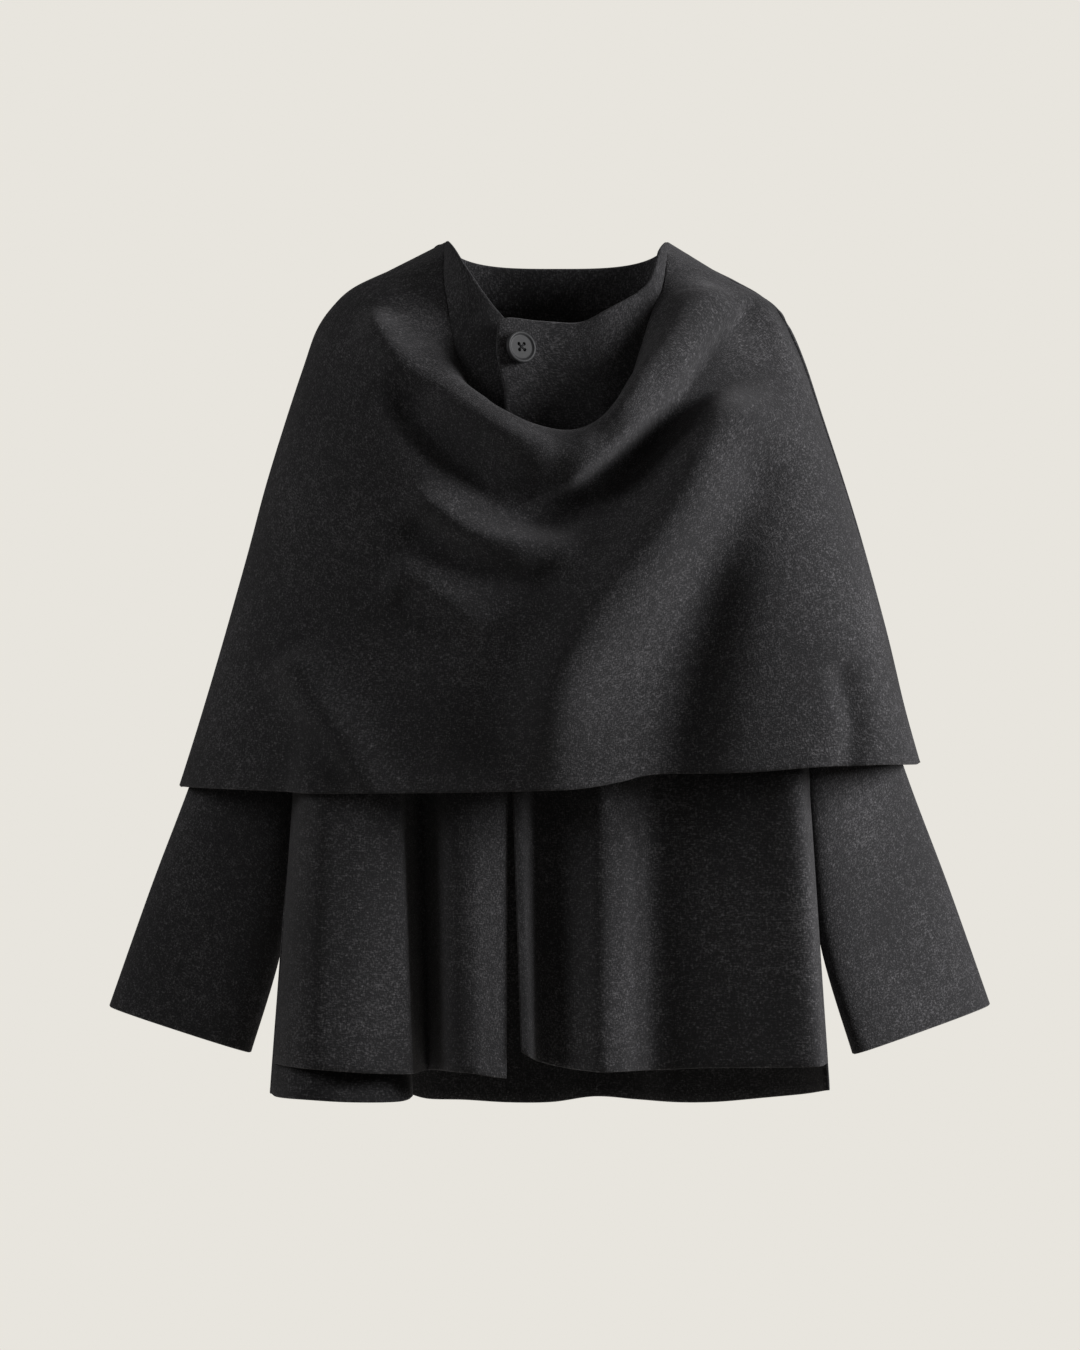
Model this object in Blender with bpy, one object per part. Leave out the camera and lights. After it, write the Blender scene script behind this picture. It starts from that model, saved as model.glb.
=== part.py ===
"""A short wool jacket under a cape that falls in a deep cowl, fastened by one neck button.

The garment is modelled hollow, as it hangs on shoulders.  Every cloth piece is a wall: a
grid of outer points worked out from rings, plan sections and soft folds, with a second
grid one cloth thickness inside it, closed along the cut edges.

Axes: +X is the wearer's left, -Y is the front, +Z is up.  The origin is between the
shoulders, at the height of the back neck seam.  All tables are in millimetres.
"""
import bpy
import numpy as np
from mathutils import Matrix, Vector

MM = 0.001

for leftover in list(bpy.data.objects):
    bpy.data.objects.remove(leftover, do_unlink=True)

# Cloth and seams
CLOTH = 2.4                 # thickness of the brushed wool
HALF_SEAM = 0.15            # each piece stops this far short of a seam's middle
ARMHOLE_GAP = 0.8           # a sleeve's first ring stands this far off the armhole's edge
LAP_RISE = 6.5              # how far the over front stands off the under front at the neck
LAP_END, LAP_FADE = 78, 40  # the rise is gone at this x, and full this far before it
CAPE_REST = 3.2             # least gap between the cape's inside and what is below it
NECK_CLEARANCE = 1.0        # the same at the cape's neck edge
REST_REACH = 13.0           # radius around a cape point in which what is below it counts

# Button
BUTTON_RADIUS = 14.0
BUTTON_THICKNESS = 4.0
BUTTON_RIM = 2.2            # width of the raised rim
BUTTON_DISH = 0.8           # depth of the face inside the rim
BUTTON_HOLE_RADIUS = 1.2
BUTTON_HOLE_OFFSET = 2.6    # from the button's axis to a hole's, along both face directions
BUTTON_X, BUTTON_Z = -25.0, -40.0
BUTTON_GAP = 0.4

# Rings of the jacket, top to bottom.  side_* is the shoulder or side seam, front_* the
# centre front and back_* the centre back.
RING_COLUMNS = ("name", "middle_x", "half_width", "side_y", "side_z", "front_y", "front_z", "back_y", "back_z")
JACKET_RINGS = (
    ("neck top", 5, 94, 0, 48, -74, -20, 62, 26),
    ("neck seam", 4, 104, 1, 27, -80, -45, 70, -9),
    ("collarbone", 2, 140, 2, 13, -86, -80, 80, -50),
    ("shoulder point", 0, 186, 4, -28, -92, -128, 90, -110),
    ("mid armhole", 0, 188, 6, -120, -97, -188, 94, -175),
    ("underarm", 0, 180, 4, -214, -100, -250, 92, -245),
    ("waist", 0, 187, -8, -330, -102, -340, 84, -338),
    ("cape hem level", 0, 218, -26, -415, -104, -415, 78, -415),
)
NECK_TOP, NECK_SEAM, SHOULDER, UNDERARM, DRAPE = 0, 1, 3, 5, 7
RING_ROUNDNESS = 0.87       # exponent of the rings' ellipse, 1 is a plain ellipse
ARMHOLE_REACH = 30.0        # degrees that the armhole cuts into each panel at its widest

# Plan sections of the lower jacket at the level of the cape's hem and at its own hem.
DRAPE_COLUMNS = ("name", "x", "y", "hem_x", "hem_y", "hem_z")
UNDER_FRONT_DRAPE = (
    ("side seam", -218, -26, -234, -22, -643),
    ("side turn", -214, -52, -231, -52, -641),
    ("quarter", -203, -80, -216, -84, -641),
    ("broad fold", -186, -102, -196, -108, -642),
    ("broad fold slope", -164, -103, -168, -109, -644),
    ("falling slope", -144, -94, -142, -98, -646),
    ("crisp edge", -127, -78, -118, -79, -647),
    ("under the edge", -121, -64, -113, -64, -647),
    ("valley", -108, -62, -102, -58, -646),
    ("valley rise", -96, -80, -92, -80, -645),
    ("second fold crest", -82, -104, -80, -108, -645),
    ("second fold slope", -60, -98, -57, -101, -646),
    ("run to the edge", -36, -84, -37, -84, -649),
    ("front edge", -12, -78, -22, -78, -651),
)
OVER_FRONT_DRAPE = (
    ("front edge", -31, -104, -24, -106, -629),
    ("edge turn", -24, -103, -17, -104, -633),
    ("front valley", -10, -88, -7, -86, -638),
    ("valley rise", 14, -96, 14, -98, -643),
    ("fold crest", 38, -116, 38, -122, -645),
    ("fold slope", 58, -110, 60, -114, -645),
    ("falling slope", 76, -94, 78, -96, -645),
    ("middle valley", 92, -86, 94, -84, -645),
    ("broad rise", 122, -92, 126, -93, -643),
    ("long rise", 154, -102, 160, -106, -642),
    ("broad crest", 188, -108, 198, -112, -641),
    ("side turn", 209, -80, 224, -82, -640),
    ("side front", 217, -48, 232, -48, -639),
    ("side seam", 218, -26, 234, -22, -641),
)
BACK_DRAPE = (
    ("right side seam", -218, -26, -234, -22, -668),
    ("right wing", -209, 2, -221, -16, -669),
    ("wing middle", -188, 26, -194, -70, -670),
    ("forward fold", -163, 42, -150, -86, -672),
    ("fold edge", -148, 49, -124, -66, -670),
    ("fold under", -137, 54, -121, -40, -665),
    ("fold hollow", -119, 61, -133, 38, -668),
    ("hollow turn", -98, 68, -108, 72, -670),
    ("right soft crest", -68, 75, -74, 87, -670),
    ("right plain", -34, 78, -36, 82, -672),
    ("middle hollow", 0, 76, 2, 70, -673),
    ("forward soft fold", 34, 73, 40, 50, -669),
    ("soft fold return", 62, 73, 74, 60, -671),
    ("left soft crest", 96, 70, 106, 84, -673),
    ("left plain", 132, 60, 142, 72, -672),
    ("left quarter", 170, 41, 184, 48, -670),
    ("left turn", 202, 12, 217, 16, -668),
    ("left side seam", 218, -26, 234, -22, -665),
)

# Neck edges of the two fronts, from the centre towards each shoulder.
NECK_COLUMNS = ("x", "z")
UNDER_NECK = ((30, -36), (0, -31), (-38, -17), (-54, 2), (-72, 26), (-90, 48))
OVER_NECK = (
    (-46, -22), (-30, -18), (0, -21), (30, -20), (48, -9), (62, -1), (79, 9), (86, 24), (92, 40), (98, 46),
)

# Sleeves: the outer and inner lines seen from the front, the depth and the twist that
# turns the front of the sleeve outwards.
SLEEVE_COLUMNS = ("name", "outer_x", "outer_z", "inner_x", "inner_z", "centre_y", "half_depth", "twist")
SLEEVE_RINGS = (
    ("cap", 202, -66, 190, -236, 8, 50, 0),
    ("upper arm", 222, -138, 196, -270, 12, 46, 3),
    ("above the elbow", 242, -208, 201, -314, 17, 43, 7),
    ("elbow", 266, -292, 208, -376, 24, 39, 11),
    ("cape hem", 300, -396, 215, -448, 31, 37, 14),
    ("forearm", 336, -492, 225, -540, 34, 35, 15),
    ("cuff", 372, -593, 252, -631, 34, 33, 15),
)
SLEEVE_ROUNDNESS = 0.8

# Cape: its outline seen from the front, from the neck out and down each arm.
SIDE_COLUMNS = ("z", "right_x", "left_x", "y")
CAPE_SIDES = (
    (45, -94, 104, 0),
    (38, -112, 110, 0),
    (28, -138, 133, 0),
    (15, -165, 160, 1),
    (0, -182, 183, 2),
    (-20, -196, 196, 3),
    (-50, -207, 209, 5),
    (-93, -222, 224, 9),
    (-150, -239, 242, 14),
    (-207, -255, 260, 20),
    (-285, -277, 281, 28),
    (-350, -297, 297, 35),
    (-398, -312, 310, 41),
)
# Depth of the cape's plan sections at the centre front and centre back, and how square the
# front section is on the wearer's right and left and the back section is.
DEPTH_COLUMNS = ("z", "front", "back", "right_power", "left_power", "back_power")
CAPE_DEPTHS = (
    (45, 30, 40, 2.0, 2.0, 2.0),
    (20, 54, 62, 2.0, 2.0, 2.1),
    (0, 72, 78, 2.0, 2.0, 2.2),
    (-30, 92, 90, 2.0, 2.1, 2.3),
    (-60, 111, 99, 2.0, 2.3, 2.4),
    (-110, 133, 110, 2.05, 2.6, 2.5),
    (-160, 140, 116, 2.1, 3.0, 2.6),
    (-220, 142, 118, 2.1, 3.5, 2.7),
    (-300, 143, 115, 2.15, 4.2, 2.8),
    (-410, 143, 110, 2.2, 4.6, 3.0),
)
# The cowl's rim and the cape's hem, seen from the front.
COWL_RIM = (
    (-139, 27), (-133, 0), (-122, -28), (-104, -50), (-82, -69), (-54, -89), (-18, -108), (19, -115),
    (45, -107), (62, -92), (79, -67), (104, -42), (117, -20), (129, 0), (155, 18),
)
CAPE_FRONT_HEM = (
    (-312, -408), (-241, -411), (-184, -413), (-88, -412), (0, -410), (29, -408), (58, -403),
    (87, -397), (163, -395), (217, -391), (259, -388), (310, -388),
)
CAPE_BACK_HEM = ((-312, -408), (-200, -404), (-90, -409), (0, -405), (110, -402), (220, -396), (310, -388))
# The cape's neck edge: in front it dives behind the cowl, behind it follows the neck seam.
NECK_EDGE_COLUMNS = ("x", "z", "proud")
CAPE_FRONT_NECK = (
    (-94, 45, 0), (-92, 22, 1), (-88, 0, 2), (-82, -34, 2), (-72, -66, 2), (-52, -100, 2), (-20, -122, 2),
    (10, -126, 2), (40, -112, 2), (62, -78, 3), (72, -44, 3), (82, -12, 3), (93, 12, 2), (102, 45, 0),
)
CAPE_BACK_NECK = ((-94, 45, 0), (-86, 20, 1), (-62, -2, 1), (0, -14, 1), (62, -4, 1), (92, 18, 1), (102, 45, 0))

# Folds of the cape's front: a crest or trough drawn through three or four points seen from
# the front, its height outwards, and how wide it is above and below its line.
FOLD_COLUMNS = ("name", "line", "height", "above", "below")
CAPE_FRONT_FOLDS = (
    ("rim turn", ((-139, 12), (-122, -28), (-104, -50), (-82, -69), (-54, -89), (-18, -108), (19, -115)),
     -12, 10, 15),
    ("cowl lip", ((-154, 0), (-132, -44), (-95, -80), (-57, -105), (-20, -122), (19, -126)), 22, 20, 26),
    ("roll crest", ((150, 16), (129, 0), (104, -42), (79, -67), (62, -92), (30, -112)), 15, 13, 18),
    ("roll edge", ((178, 4), (160, -18), (140, -40), (118, -68), (95, -94), (72, -118), (47, -141),
                   (23, -159), (4, -170), (-14, -172)), -27, 13, 32),
    ("left trough", ((-140, -60), (-104, -108), (-75, -140), (-47, -164), (-20, -180), (18, -182)),
     -24, 32, 17),
    ("second ridge", ((-124, -156), (-92, -178), (-66, -196), (-38, -205), (-11, -205), (17, -203),
                      (44, -196)), 12, 13, 20),
    ("second trough", ((-129, -180), (-97, -204), (-66, -225), (-28, -236), (20, -230)), -8, 16, 16),
    ("third ridge", ((-134, -218), (-107, -240), (-75, -264), (-47, -282)), 9, 14, 20),
    ("shoulder fold", ((163, -46), (146, -84), (132, -118), (110, -168), (76, -218), (34, -277),
                       (10, -344), (16, -407)), 29, 30, 40),
    ("shoulder trough", ((196, -109), (166, -168), (142, -218), (125, -277), (109, -344), (100, -407)),
     -30, 34, 28),
    ("arm fold", ((-214, -290), (-198, -330), (-168, -372), (-150, -404)), 11, 22, 22),
)
CAPE_BACK_FOLDS = (
    ("right blade fold", ((-150, -60), (-138, -220), (-128, -405)), 11, 26, 26),
    ("middle fold", ((-28, -110), (-22, -250), (-16, -405)), 8, 24, 24),
    ("left blade fold", ((132, -60), (120, -220), (104, -402)), 12, 28, 24),
    ("left arm fold", ((214, -160), (214, -280), (210, -395)), 6, 22, 22),
    ("right arm fold", ((-214, -160), (-220, -280), (-224, -404)), 5, 22, 22),
)


def column(rows, names, name):
    """One named column of a table, as an array."""
    return np.array([row[names.index(name)] for row in rows], float)


def smooth_through(values, where):
    """Catmull-Rom curve through equally spaced values, read at fractional indices."""
    values = np.asarray(values, float)
    where = np.clip(np.asarray(where, float), 0, len(values) - 1)
    start = np.minimum(where.astype(int), len(values) - 2)
    t = (where - start).reshape(where.shape + (1,) * (values.ndim - 1))
    before = values[np.maximum(start - 1, 0)]
    here, there = values[start], values[start + 1]
    after = values[np.minimum(start + 2, len(values) - 1)]
    return 0.5 * (2 * here + (there - before) * t + (2 * before - 5 * here + 4 * there - after) * t ** 2
                  + (3 * here - before - 3 * there + after) * t ** 3)


def along(points, share):
    """Points at the given shares of the length of a smooth curve through points."""
    fine = smooth_through(points, np.linspace(0, len(points) - 1, 24 * (len(points) - 1) + 1))
    length = np.concatenate([[0], np.cumsum(np.linalg.norm(np.diff(fine, axis=0), axis=1))])
    target = np.asarray(share) * length[-1]
    return np.stack([np.interp(target, length, fine[:, axis]) for axis in range(fine.shape[1])], axis=-1)


def ease(value):
    """Smooth step from 0 to 1."""
    value = np.clip(value, 0, 1)
    return value * value * (3 - 2 * value)


def unit(vectors):
    """Vectors scaled to length one."""
    return vectors / np.maximum(np.linalg.norm(vectors, axis=-1, keepdims=True), 1e-9)


def grid_normals(grid, closed=False):
    """Outward normals of a grid whose columns run anticlockwise seen from above."""
    if closed:
        across = np.roll(grid, -1, axis=1) - np.roll(grid, 1, axis=1)
    else:
        across = np.gradient(grid, axis=1)
    down = np.gradient(grid, axis=0)
    return unit(np.cross(down, across))


def jacket_ring(level, angle):
    """Jacket surface: level counts the rings, angle is 0 in front, 90 at +X, 180 behind."""
    size = {name: smooth_through(column(JACKET_RINGS, RING_COLUMNS, name), level)
            for name in RING_COLUMNS[1:]}
    turn = np.radians(angle)
    across = np.abs(np.sin(turn)) ** RING_ROUNDNESS * np.sign(np.sin(turn))
    ahead = np.abs(np.cos(turn)) ** RING_ROUNDNESS
    fall = np.abs(np.cos(turn))
    front = np.cos(turn) >= 0
    end_y = np.where(front, size["front_y"], size["back_y"])
    end_z = np.where(front, size["front_z"], size["back_z"])
    return np.stack([
        size["middle_x"] + size["half_width"] * across,
        size["side_y"] + (end_y - size["side_y"]) * ahead,
        size["side_z"] + (end_z - size["side_z"]) * fall,
    ], axis=-1)


def armhole_cut(level):
    """Degrees that the armhole takes from the panel's side edge at a level."""
    share = np.clip((level - SHOULDER) / (UNDERARM - SHOULDER), 0, 1)
    return ARMHOLE_REACH * np.sin(np.pi * share) ** 0.55


def body_panel(levels, hem_rows, spans, edge_angle, seam_angle, drape, neck=None):
    """Outer grid of a front or back: rings down to the cape's hem, then the draped hem.

    edge_angle(level) is the angle of the grid's first column and seam_angle(level) of its
    last.  The drape table runs the same way, and takes over below the underarm.
    """
    levels = np.asarray(levels, float)[:, None]
    spans = np.asarray(spans, float)[None, :]
    angle = edge_angle(levels) * (1 - spans) + seam_angle(levels) * spans
    rings = jacket_ring(levels + 0 * spans, angle)
    plan = np.stack([column(drape, DRAPE_COLUMNS, name) for name in ("x", "y", "hem_x", "hem_y", "hem_z")], -1)
    plan = smooth_through(plan, spans[0] * (len(drape) - 1))
    taken = ease((levels - UNDERARM) / (DRAPE - UNDERARM))
    rings[..., 0] += taken * (plan[:, 0] - rings[..., 0])
    rings[..., 1] += taken * (plan[:, 1] - rings[..., 1])
    if neck is not None:
        neck_x, neck_z = column(neck, NECK_COLUMNS, "x"), column(neck, NECK_COLUMNS, "z")
        order = np.argsort(neck_x)
        target = np.interp(rings[0, :, 0], neck_x[order], neck_z[order])
        fade = np.clip(1 - levels / 2.0, 0, 1) ** 1.5
        rings[..., 2] += fade * (target - rings[0, :, 2])
    share = np.asarray(hem_rows, float)[:, None]
    top_z = rings[-1, :, 2]
    hem = np.stack([
        plan[:, 0] + share * (plan[:, 2] - plan[:, 0]),
        plan[:, 1] + share * (plan[:, 3] - plan[:, 1]),
        top_z + share * (plan[:, 4] - top_z),
    ], axis=-1)
    return np.concatenate([rings, hem])


def lap_rise(grid):
    """Height of the over front above the under front: full across the lap, none past it."""
    return LAP_RISE * ease((LAP_END - grid[..., 0]) / LAP_FADE)


def seam_trim(grid, normals, column_index, towards):
    """Square a seam's edge to the seam and hold it back from the seam's middle."""
    normals[:, column_index, 1] = 0
    normals[:, column_index] = unit(normals[:, column_index])
    grid[:, column_index, 1] += towards * HALF_SEAM


def material(name, colour, roughness):
    """Principled surface of one colour."""
    made = bpy.data.materials.new(name)
    made.use_nodes = True
    shader = made.node_tree.nodes["Principled BSDF"]
    shader.inputs["Base Color"].default_value = (*colour, 1)
    shader.inputs["Roughness"].default_value = roughness
    shader.inputs["Metallic"].default_value = 0
    return made


def add_mesh(name, points, faces, colour, roughness):
    """Named mesh object of its own material, points in millimetres."""
    mesh = bpy.data.meshes.new(name)
    mesh.from_pydata([tuple(point) for point in np.asarray(points) * MM], [], faces)
    mesh.materials.append(material(name, colour, roughness))
    mesh.shade_smooth()
    mesh.set_sharp_from_angle(angle=np.radians(50))
    thing = bpy.data.objects.new(name, mesh)
    bpy.context.scene.collection.objects.link(thing)
    return thing


def add_wall(name, grid, normals, colour, closed=False):
    """Cloth wall: the grid outside, the same grid one thickness in, and its cut edges."""
    rows, columns = grid.shape[:2]
    inner = grid - normals * CLOTH
    points = np.concatenate([grid.reshape(-1, 3), inner.reshape(-1, 3)])
    inside = rows * columns
    strips = columns if closed else columns - 1
    faces = []
    for row in range(rows - 1):
        for strip in range(strips):
            here, there = row * columns + strip, row * columns + (strip + 1) % columns
            faces.append((here, here + columns, there + columns, there))
            faces.append((inside + here, inside + there, inside + there + columns, inside + here + columns))
    for strip in range(strips):
        here, there = strip, (strip + 1) % columns
        faces.append((here, there, inside + there, inside + here))
        here, there = here + (rows - 1) * columns, there + (rows - 1) * columns
        faces.append((there, here, inside + here, inside + there))
    if not closed:
        for row in range(rows - 1):
            here, below = row * columns, (row + 1) * columns
            faces.append((below, here, inside + here, inside + below))
            here, below = here + columns - 1, below + columns - 1
            faces.append((here, below, inside + below, inside + here))
    return add_mesh(name, points, faces, colour, 0.92)


# --- Jacket body ---------------------------------------------------------------------

CHARCOAL = (0.030, 0.030, 0.033)
BUTTON_BLACK = (0.035, 0.035, 0.037)
FRONT_LEVELS = (0, 0.5, 1, 1.6, 2.3, 3, 3.12, 3.4, 4, 4.6, 4.88, 5, 5.6, 6.3, 7)
HEM_ROWS = (0.34, 0.67, 1)


def under_front_grid(levels=FRONT_LEVELS, hem_rows=HEM_ROWS, spans=np.linspace(0, 1, 23)):
    """Wearer's right front, from its side edge to its front edge."""
    side = lambda level: -90 + armhole_cut(level)
    edge = lambda level: 16 - 18 * np.clip(level / DRAPE, 0, 1)
    return body_panel(levels, hem_rows, spans, side, edge, UNDER_FRONT_DRAPE, UNDER_NECK)


def over_front_grid(levels=FRONT_LEVELS, hem_rows=HEM_ROWS, spans=np.linspace(0, 1, 23)):
    """Wearer's left front, from its front edge to its side edge, raised over the lap."""
    edge = lambda level: -27 + 19 * np.clip(level / DRAPE, 0, 1) ** 0.4
    side = lambda level: 90 - armhole_cut(level)
    grid = body_panel(levels, hem_rows, spans, edge, side, OVER_FRONT_DRAPE, OVER_NECK)
    upper = len(levels)
    lift = lap_rise(grid[:upper]) * ease((DRAPE - np.asarray(levels, float)) / 1.2)[:, None]
    grid[:upper] += grid_normals(grid)[:upper] * lift[..., None]
    return grid


def back_grid(levels, hem_rows=HEM_ROWS, spans=np.linspace(0, 1, 35)):
    """Back, from the wearer's left side to the right; levels start at the neck seam."""
    left = lambda level: 90 + armhole_cut(level)
    right = lambda level: 270 - armhole_cut(level)
    return body_panel(levels, hem_rows, spans, left, right, BACK_DRAPE[::-1])


BACK_LEVELS = (1, 1.6, 2.3, 3, 3.12, 3.4, 4, 4.6, 4.88, 5, 5.6, 6.3, 7)


def split_at_armhole(grid, normals, levels, column_index, towards):
    """Trim a panel's side edge where it is a seam, and leave its armhole as it is."""
    levels = np.concatenate([levels, np.full(len(grid) - len(levels), DRAPE)])
    seam = (levels <= SHOULDER) | (levels >= UNDERARM)
    trimmed, squared = grid.copy(), normals.copy()
    seam_trim(trimmed, squared, column_index, towards)
    grid[seam, column_index] = trimmed[seam, column_index]
    normals[seam, column_index] = squared[seam, column_index]


def follow_seam(grid, column_index, front_edge):
    """Lay the back's side edge below the cape's hem on the straight line of the front's."""
    top, hem = front_edge[-len(HEM_ROWS) - 1], front_edge[-1]
    share = (grid[-len(HEM_ROWS):, column_index, 2] - top[2]) / (hem[2] - top[2])
    grid[-len(HEM_ROWS):, column_index, :2] = top[:2] + share[:, None] * (hem - top)[:2]


under_front = under_front_grid()
under_normals = grid_normals(under_front)
split_at_armhole(under_front, under_normals, FRONT_LEVELS, 0, -1)
over_front = over_front_grid()
over_normals = grid_normals(over_front)
split_at_armhole(over_front, over_normals, FRONT_LEVELS, -1, -1)
back = back_grid(BACK_LEVELS)
follow_seam(back, 0, over_front_grid()[:, -1])
follow_seam(back, -1, under_front_grid()[:, 0])
back_normals = grid_normals(back)
split_at_armhole(back, back_normals, BACK_LEVELS, 0, 1)
split_at_armhole(back, back_normals, BACK_LEVELS, -1, 1)
BAND_LEVELS = (0, 0.33, 0.66, 0.985)
band = body_panel(BAND_LEVELS, (), np.linspace(0, 1, 25), lambda level: 90 + 0 * level,
                  lambda level: 270 + 0 * level, BACK_DRAPE[::-1])
band_normals = grid_normals(band)
seam_trim(band, band_normals, 0, 1)
seam_trim(band, band_normals, -1, 1)

add_wall("jacket_front_right", under_front, under_normals, CHARCOAL)
add_wall("jacket_front_left", over_front, over_normals, CHARCOAL)
add_wall("jacket_back", back, back_normals, CHARCOAL)
add_wall("neck_band", band, band_normals, CHARCOAL)


# --- Sleeves -------------------------------------------------------------------------

def armhole_loop(front, front_normals, front_column, rear, rear_normals, rear_column):
    """Closed armhole edge of two panels, down the front and up the back, with normals."""
    first, last = FRONT_LEVELS.index(SHOULDER), FRONT_LEVELS.index(UNDERARM)
    rear_first, rear_last = BACK_LEVELS.index(SHOULDER), BACK_LEVELS.index(UNDERARM)
    down = front[first:last + 1, front_column]
    up = rear[rear_first + 1:rear_last, rear_column][::-1]
    down_normals = front_normals[first:last + 1, front_column]
    up_normals = rear_normals[rear_first + 1:rear_last, rear_column][::-1]
    return np.concatenate([down, up]), np.concatenate([down_normals, up_normals])


def sleeve(name, side, loop, loop_normals):
    """Tube from the armhole to the cuff; side is +1 for the wearer's left."""
    tangent = unit(np.roll(loop, -1, axis=0) - np.roll(loop, 1, axis=0))
    inward = loop.mean(axis=0) - loop
    for across in (loop_normals, tangent):
        inward -= (inward * across).sum(-1, keepdims=True) * across
    start = loop + unit(inward) * ARMHOLE_GAP
    size = {key: column(SLEEVE_RINGS, SLEEVE_COLUMNS, key) for key in SLEEVE_COLUMNS[1:]}
    around = np.linspace(0, 2 * np.pi, len(loop), endpoint=False)
    reach = np.sign(np.cos(around)) * np.abs(np.cos(around)) ** SLEEVE_ROUNDNESS
    depth = -np.sign(np.sin(around)) * np.abs(np.sin(around)) ** SLEEVE_ROUNDNESS
    half_x = (size["outer_x"] - size["inner_x"])[:, None] / 2
    half_z = (size["outer_z"] - size["inner_z"])[:, None] / 2
    middle_x = (size["outer_x"] + size["inner_x"])[:, None] / 2
    middle_z = (size["outer_z"] + size["inner_z"])[:, None] / 2
    rings = np.stack([
        side * (middle_x + half_x * reach),
        size["centre_y"][:, None] + size["half_depth"][:, None] * depth + size["twist"][:, None] * reach,
        middle_z + half_z * reach,
    ], axis=-1)
    key_rings = np.concatenate([start[None], rings])
    tube = smooth_through(key_rings, SLEEVE_ROWS)
    if side < 0:
        normals = grid_normals(tube, closed=True)
    else:
        normals = grid_normals(tube[:, ::-1], closed=True)[:, ::-1]
    shared = ease((normals[0] * loop_normals).sum(-1, keepdims=True) / 0.5)
    normals[0] = unit(shared * loop_normals + (1 - shared) * normals[0])
    if side > 0:
        tube, normals = tube[:, ::-1], normals[:, ::-1]
    add_wall(name, tube, normals, CHARCOAL, closed=True)
    return tube


SLEEVE_ROWS = (0, 1, 1.5, 2, 2.5, 3, 4, 5, 6, 7)
right_sleeve = sleeve("sleeve_right", -1, *armhole_loop(under_front, under_normals, 0, back, back_normals, -1))
left_sleeve = sleeve("sleeve_left", 1, *armhole_loop(over_front, over_normals, -1, back, back_normals, 0))


# --- Cape ----------------------------------------------------------------------------

def table_at(rows, names, name, z):
    """A column of a table read at height z, the rows running from high to low."""
    return np.interp(-z, -column(rows, names, "z"), column(rows, names, name))


def section_depth(x, z, behind):
    """Depth of the cape's plan section at a point seen from the front."""
    half = np.where(x < 0, -table_at(CAPE_SIDES, SIDE_COLUMNS, "right_x", z),
                    table_at(CAPE_SIDES, SIDE_COLUMNS, "left_x", z))
    side_y = table_at(CAPE_SIDES, SIDE_COLUMNS, "y", z)
    deep, right_power, left_power, back_power = (
        table_at(CAPE_DEPTHS, DEPTH_COLUMNS, name, z)
        for name in ("back" if behind else "front", "right_power", "left_power", "back_power"))
    power = back_power if behind else np.where(x < 0, right_power, left_power)
    share = np.clip(1 - np.abs(x / half) ** power, 0, 1) ** (1 / power)
    return side_y + ((deep - side_y) if behind else -(deep + side_y)) * share


def fold_height(x, z, folds):
    """Sum of the soft ridges and troughs at points seen from the front or back."""
    height = np.zeros_like(x)
    for name, line, rise, above, below in folds:
        points = along(np.array(line, float), np.linspace(0, 1, 60))
        gap_x = x[..., None] - points[:, 0]
        gap_z = z[..., None] - points[:, 1]
        squared = gap_x ** 2 + gap_z ** 2
        nearest = squared.argmin(-1)
        step = np.gradient(points, axis=0)[nearest]
        pick = lambda values: np.take_along_axis(values, nearest[..., None], -1)[..., 0]
        side = step[..., 0] * pick(gap_z) - step[..., 1] * pick(gap_x)
        upper = side * np.where(line[-1][0] > line[0][0], 1, -1) > 0
        width = np.where(upper, above, below)
        share = nearest / (len(points) - 1)
        fade = ease(share / 0.16) * (1 - 0.75 * ease((share - 0.72) / 0.28))
        height += rise * fade * np.exp(-squared.min(-1) / width ** 2)
    return height


def under_limit(x, z, under, behind):
    """Foremost, or rearmost, depth of the points under a place seen from the front."""
    limit = np.full(x.shape, -1e3 if behind else 1e3)
    for index in np.ndindex(x.shape):
        near = (under[:, 0] - x[index]) ** 2 + (under[:, 2] - z[index]) ** 2 < REST_REACH ** 2
        if near.any():
            limit[index] = under[near, 1].max() if behind else under[near, 1].min()
    return limit


def spread(push):
    """A push spread smoothly over the neighbouring grid points, nowhere less than it was."""
    wide = push
    for _ in range(SPREAD_STEPS):
        padded = np.pad(wide, 1, mode="edge")
        mean = (padded[:-2, 1:-1] + padded[2:, 1:-1] + padded[1:-1, :-2] + padded[1:-1, 2:]) / 4
        wide = np.maximum(push, mean)
    return wide


def cape_side(points, share):
    """Shoulder and arm line of the cape on one side, at shares of its length."""
    line = np.stack([column(CAPE_SIDES, SIDE_COLUMNS, name) for name in (points, "y", "z")], -1)
    return along(line, share)


fine_levels, fine_rows, fine_spans = np.linspace(0, 7, 90), np.linspace(0.05, 1, 20), np.linspace(0, 1, 60)
FRONT_UNDER = np.concatenate([
    under_front_grid(fine_levels, fine_rows, fine_spans).reshape(-1, 3),
    over_front_grid(fine_levels, fine_rows, fine_spans).reshape(-1, 3),
    smooth_through(right_sleeve, np.linspace(0, len(right_sleeve) - 1, 60)).reshape(-1, 3),
    smooth_through(left_sleeve, np.linspace(0, len(left_sleeve) - 1, 60)).reshape(-1, 3),
])
BACK_UNDER = np.concatenate([
    back_grid(np.linspace(1, 7, 80), fine_rows, fine_spans).reshape(-1, 3),
    smooth_through(right_sleeve, np.linspace(0, len(right_sleeve) - 1, 60)).reshape(-1, 3),
    smooth_through(left_sleeve, np.linspace(0, len(left_sleeve) - 1, 60)).reshape(-1, 3),
])


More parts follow.
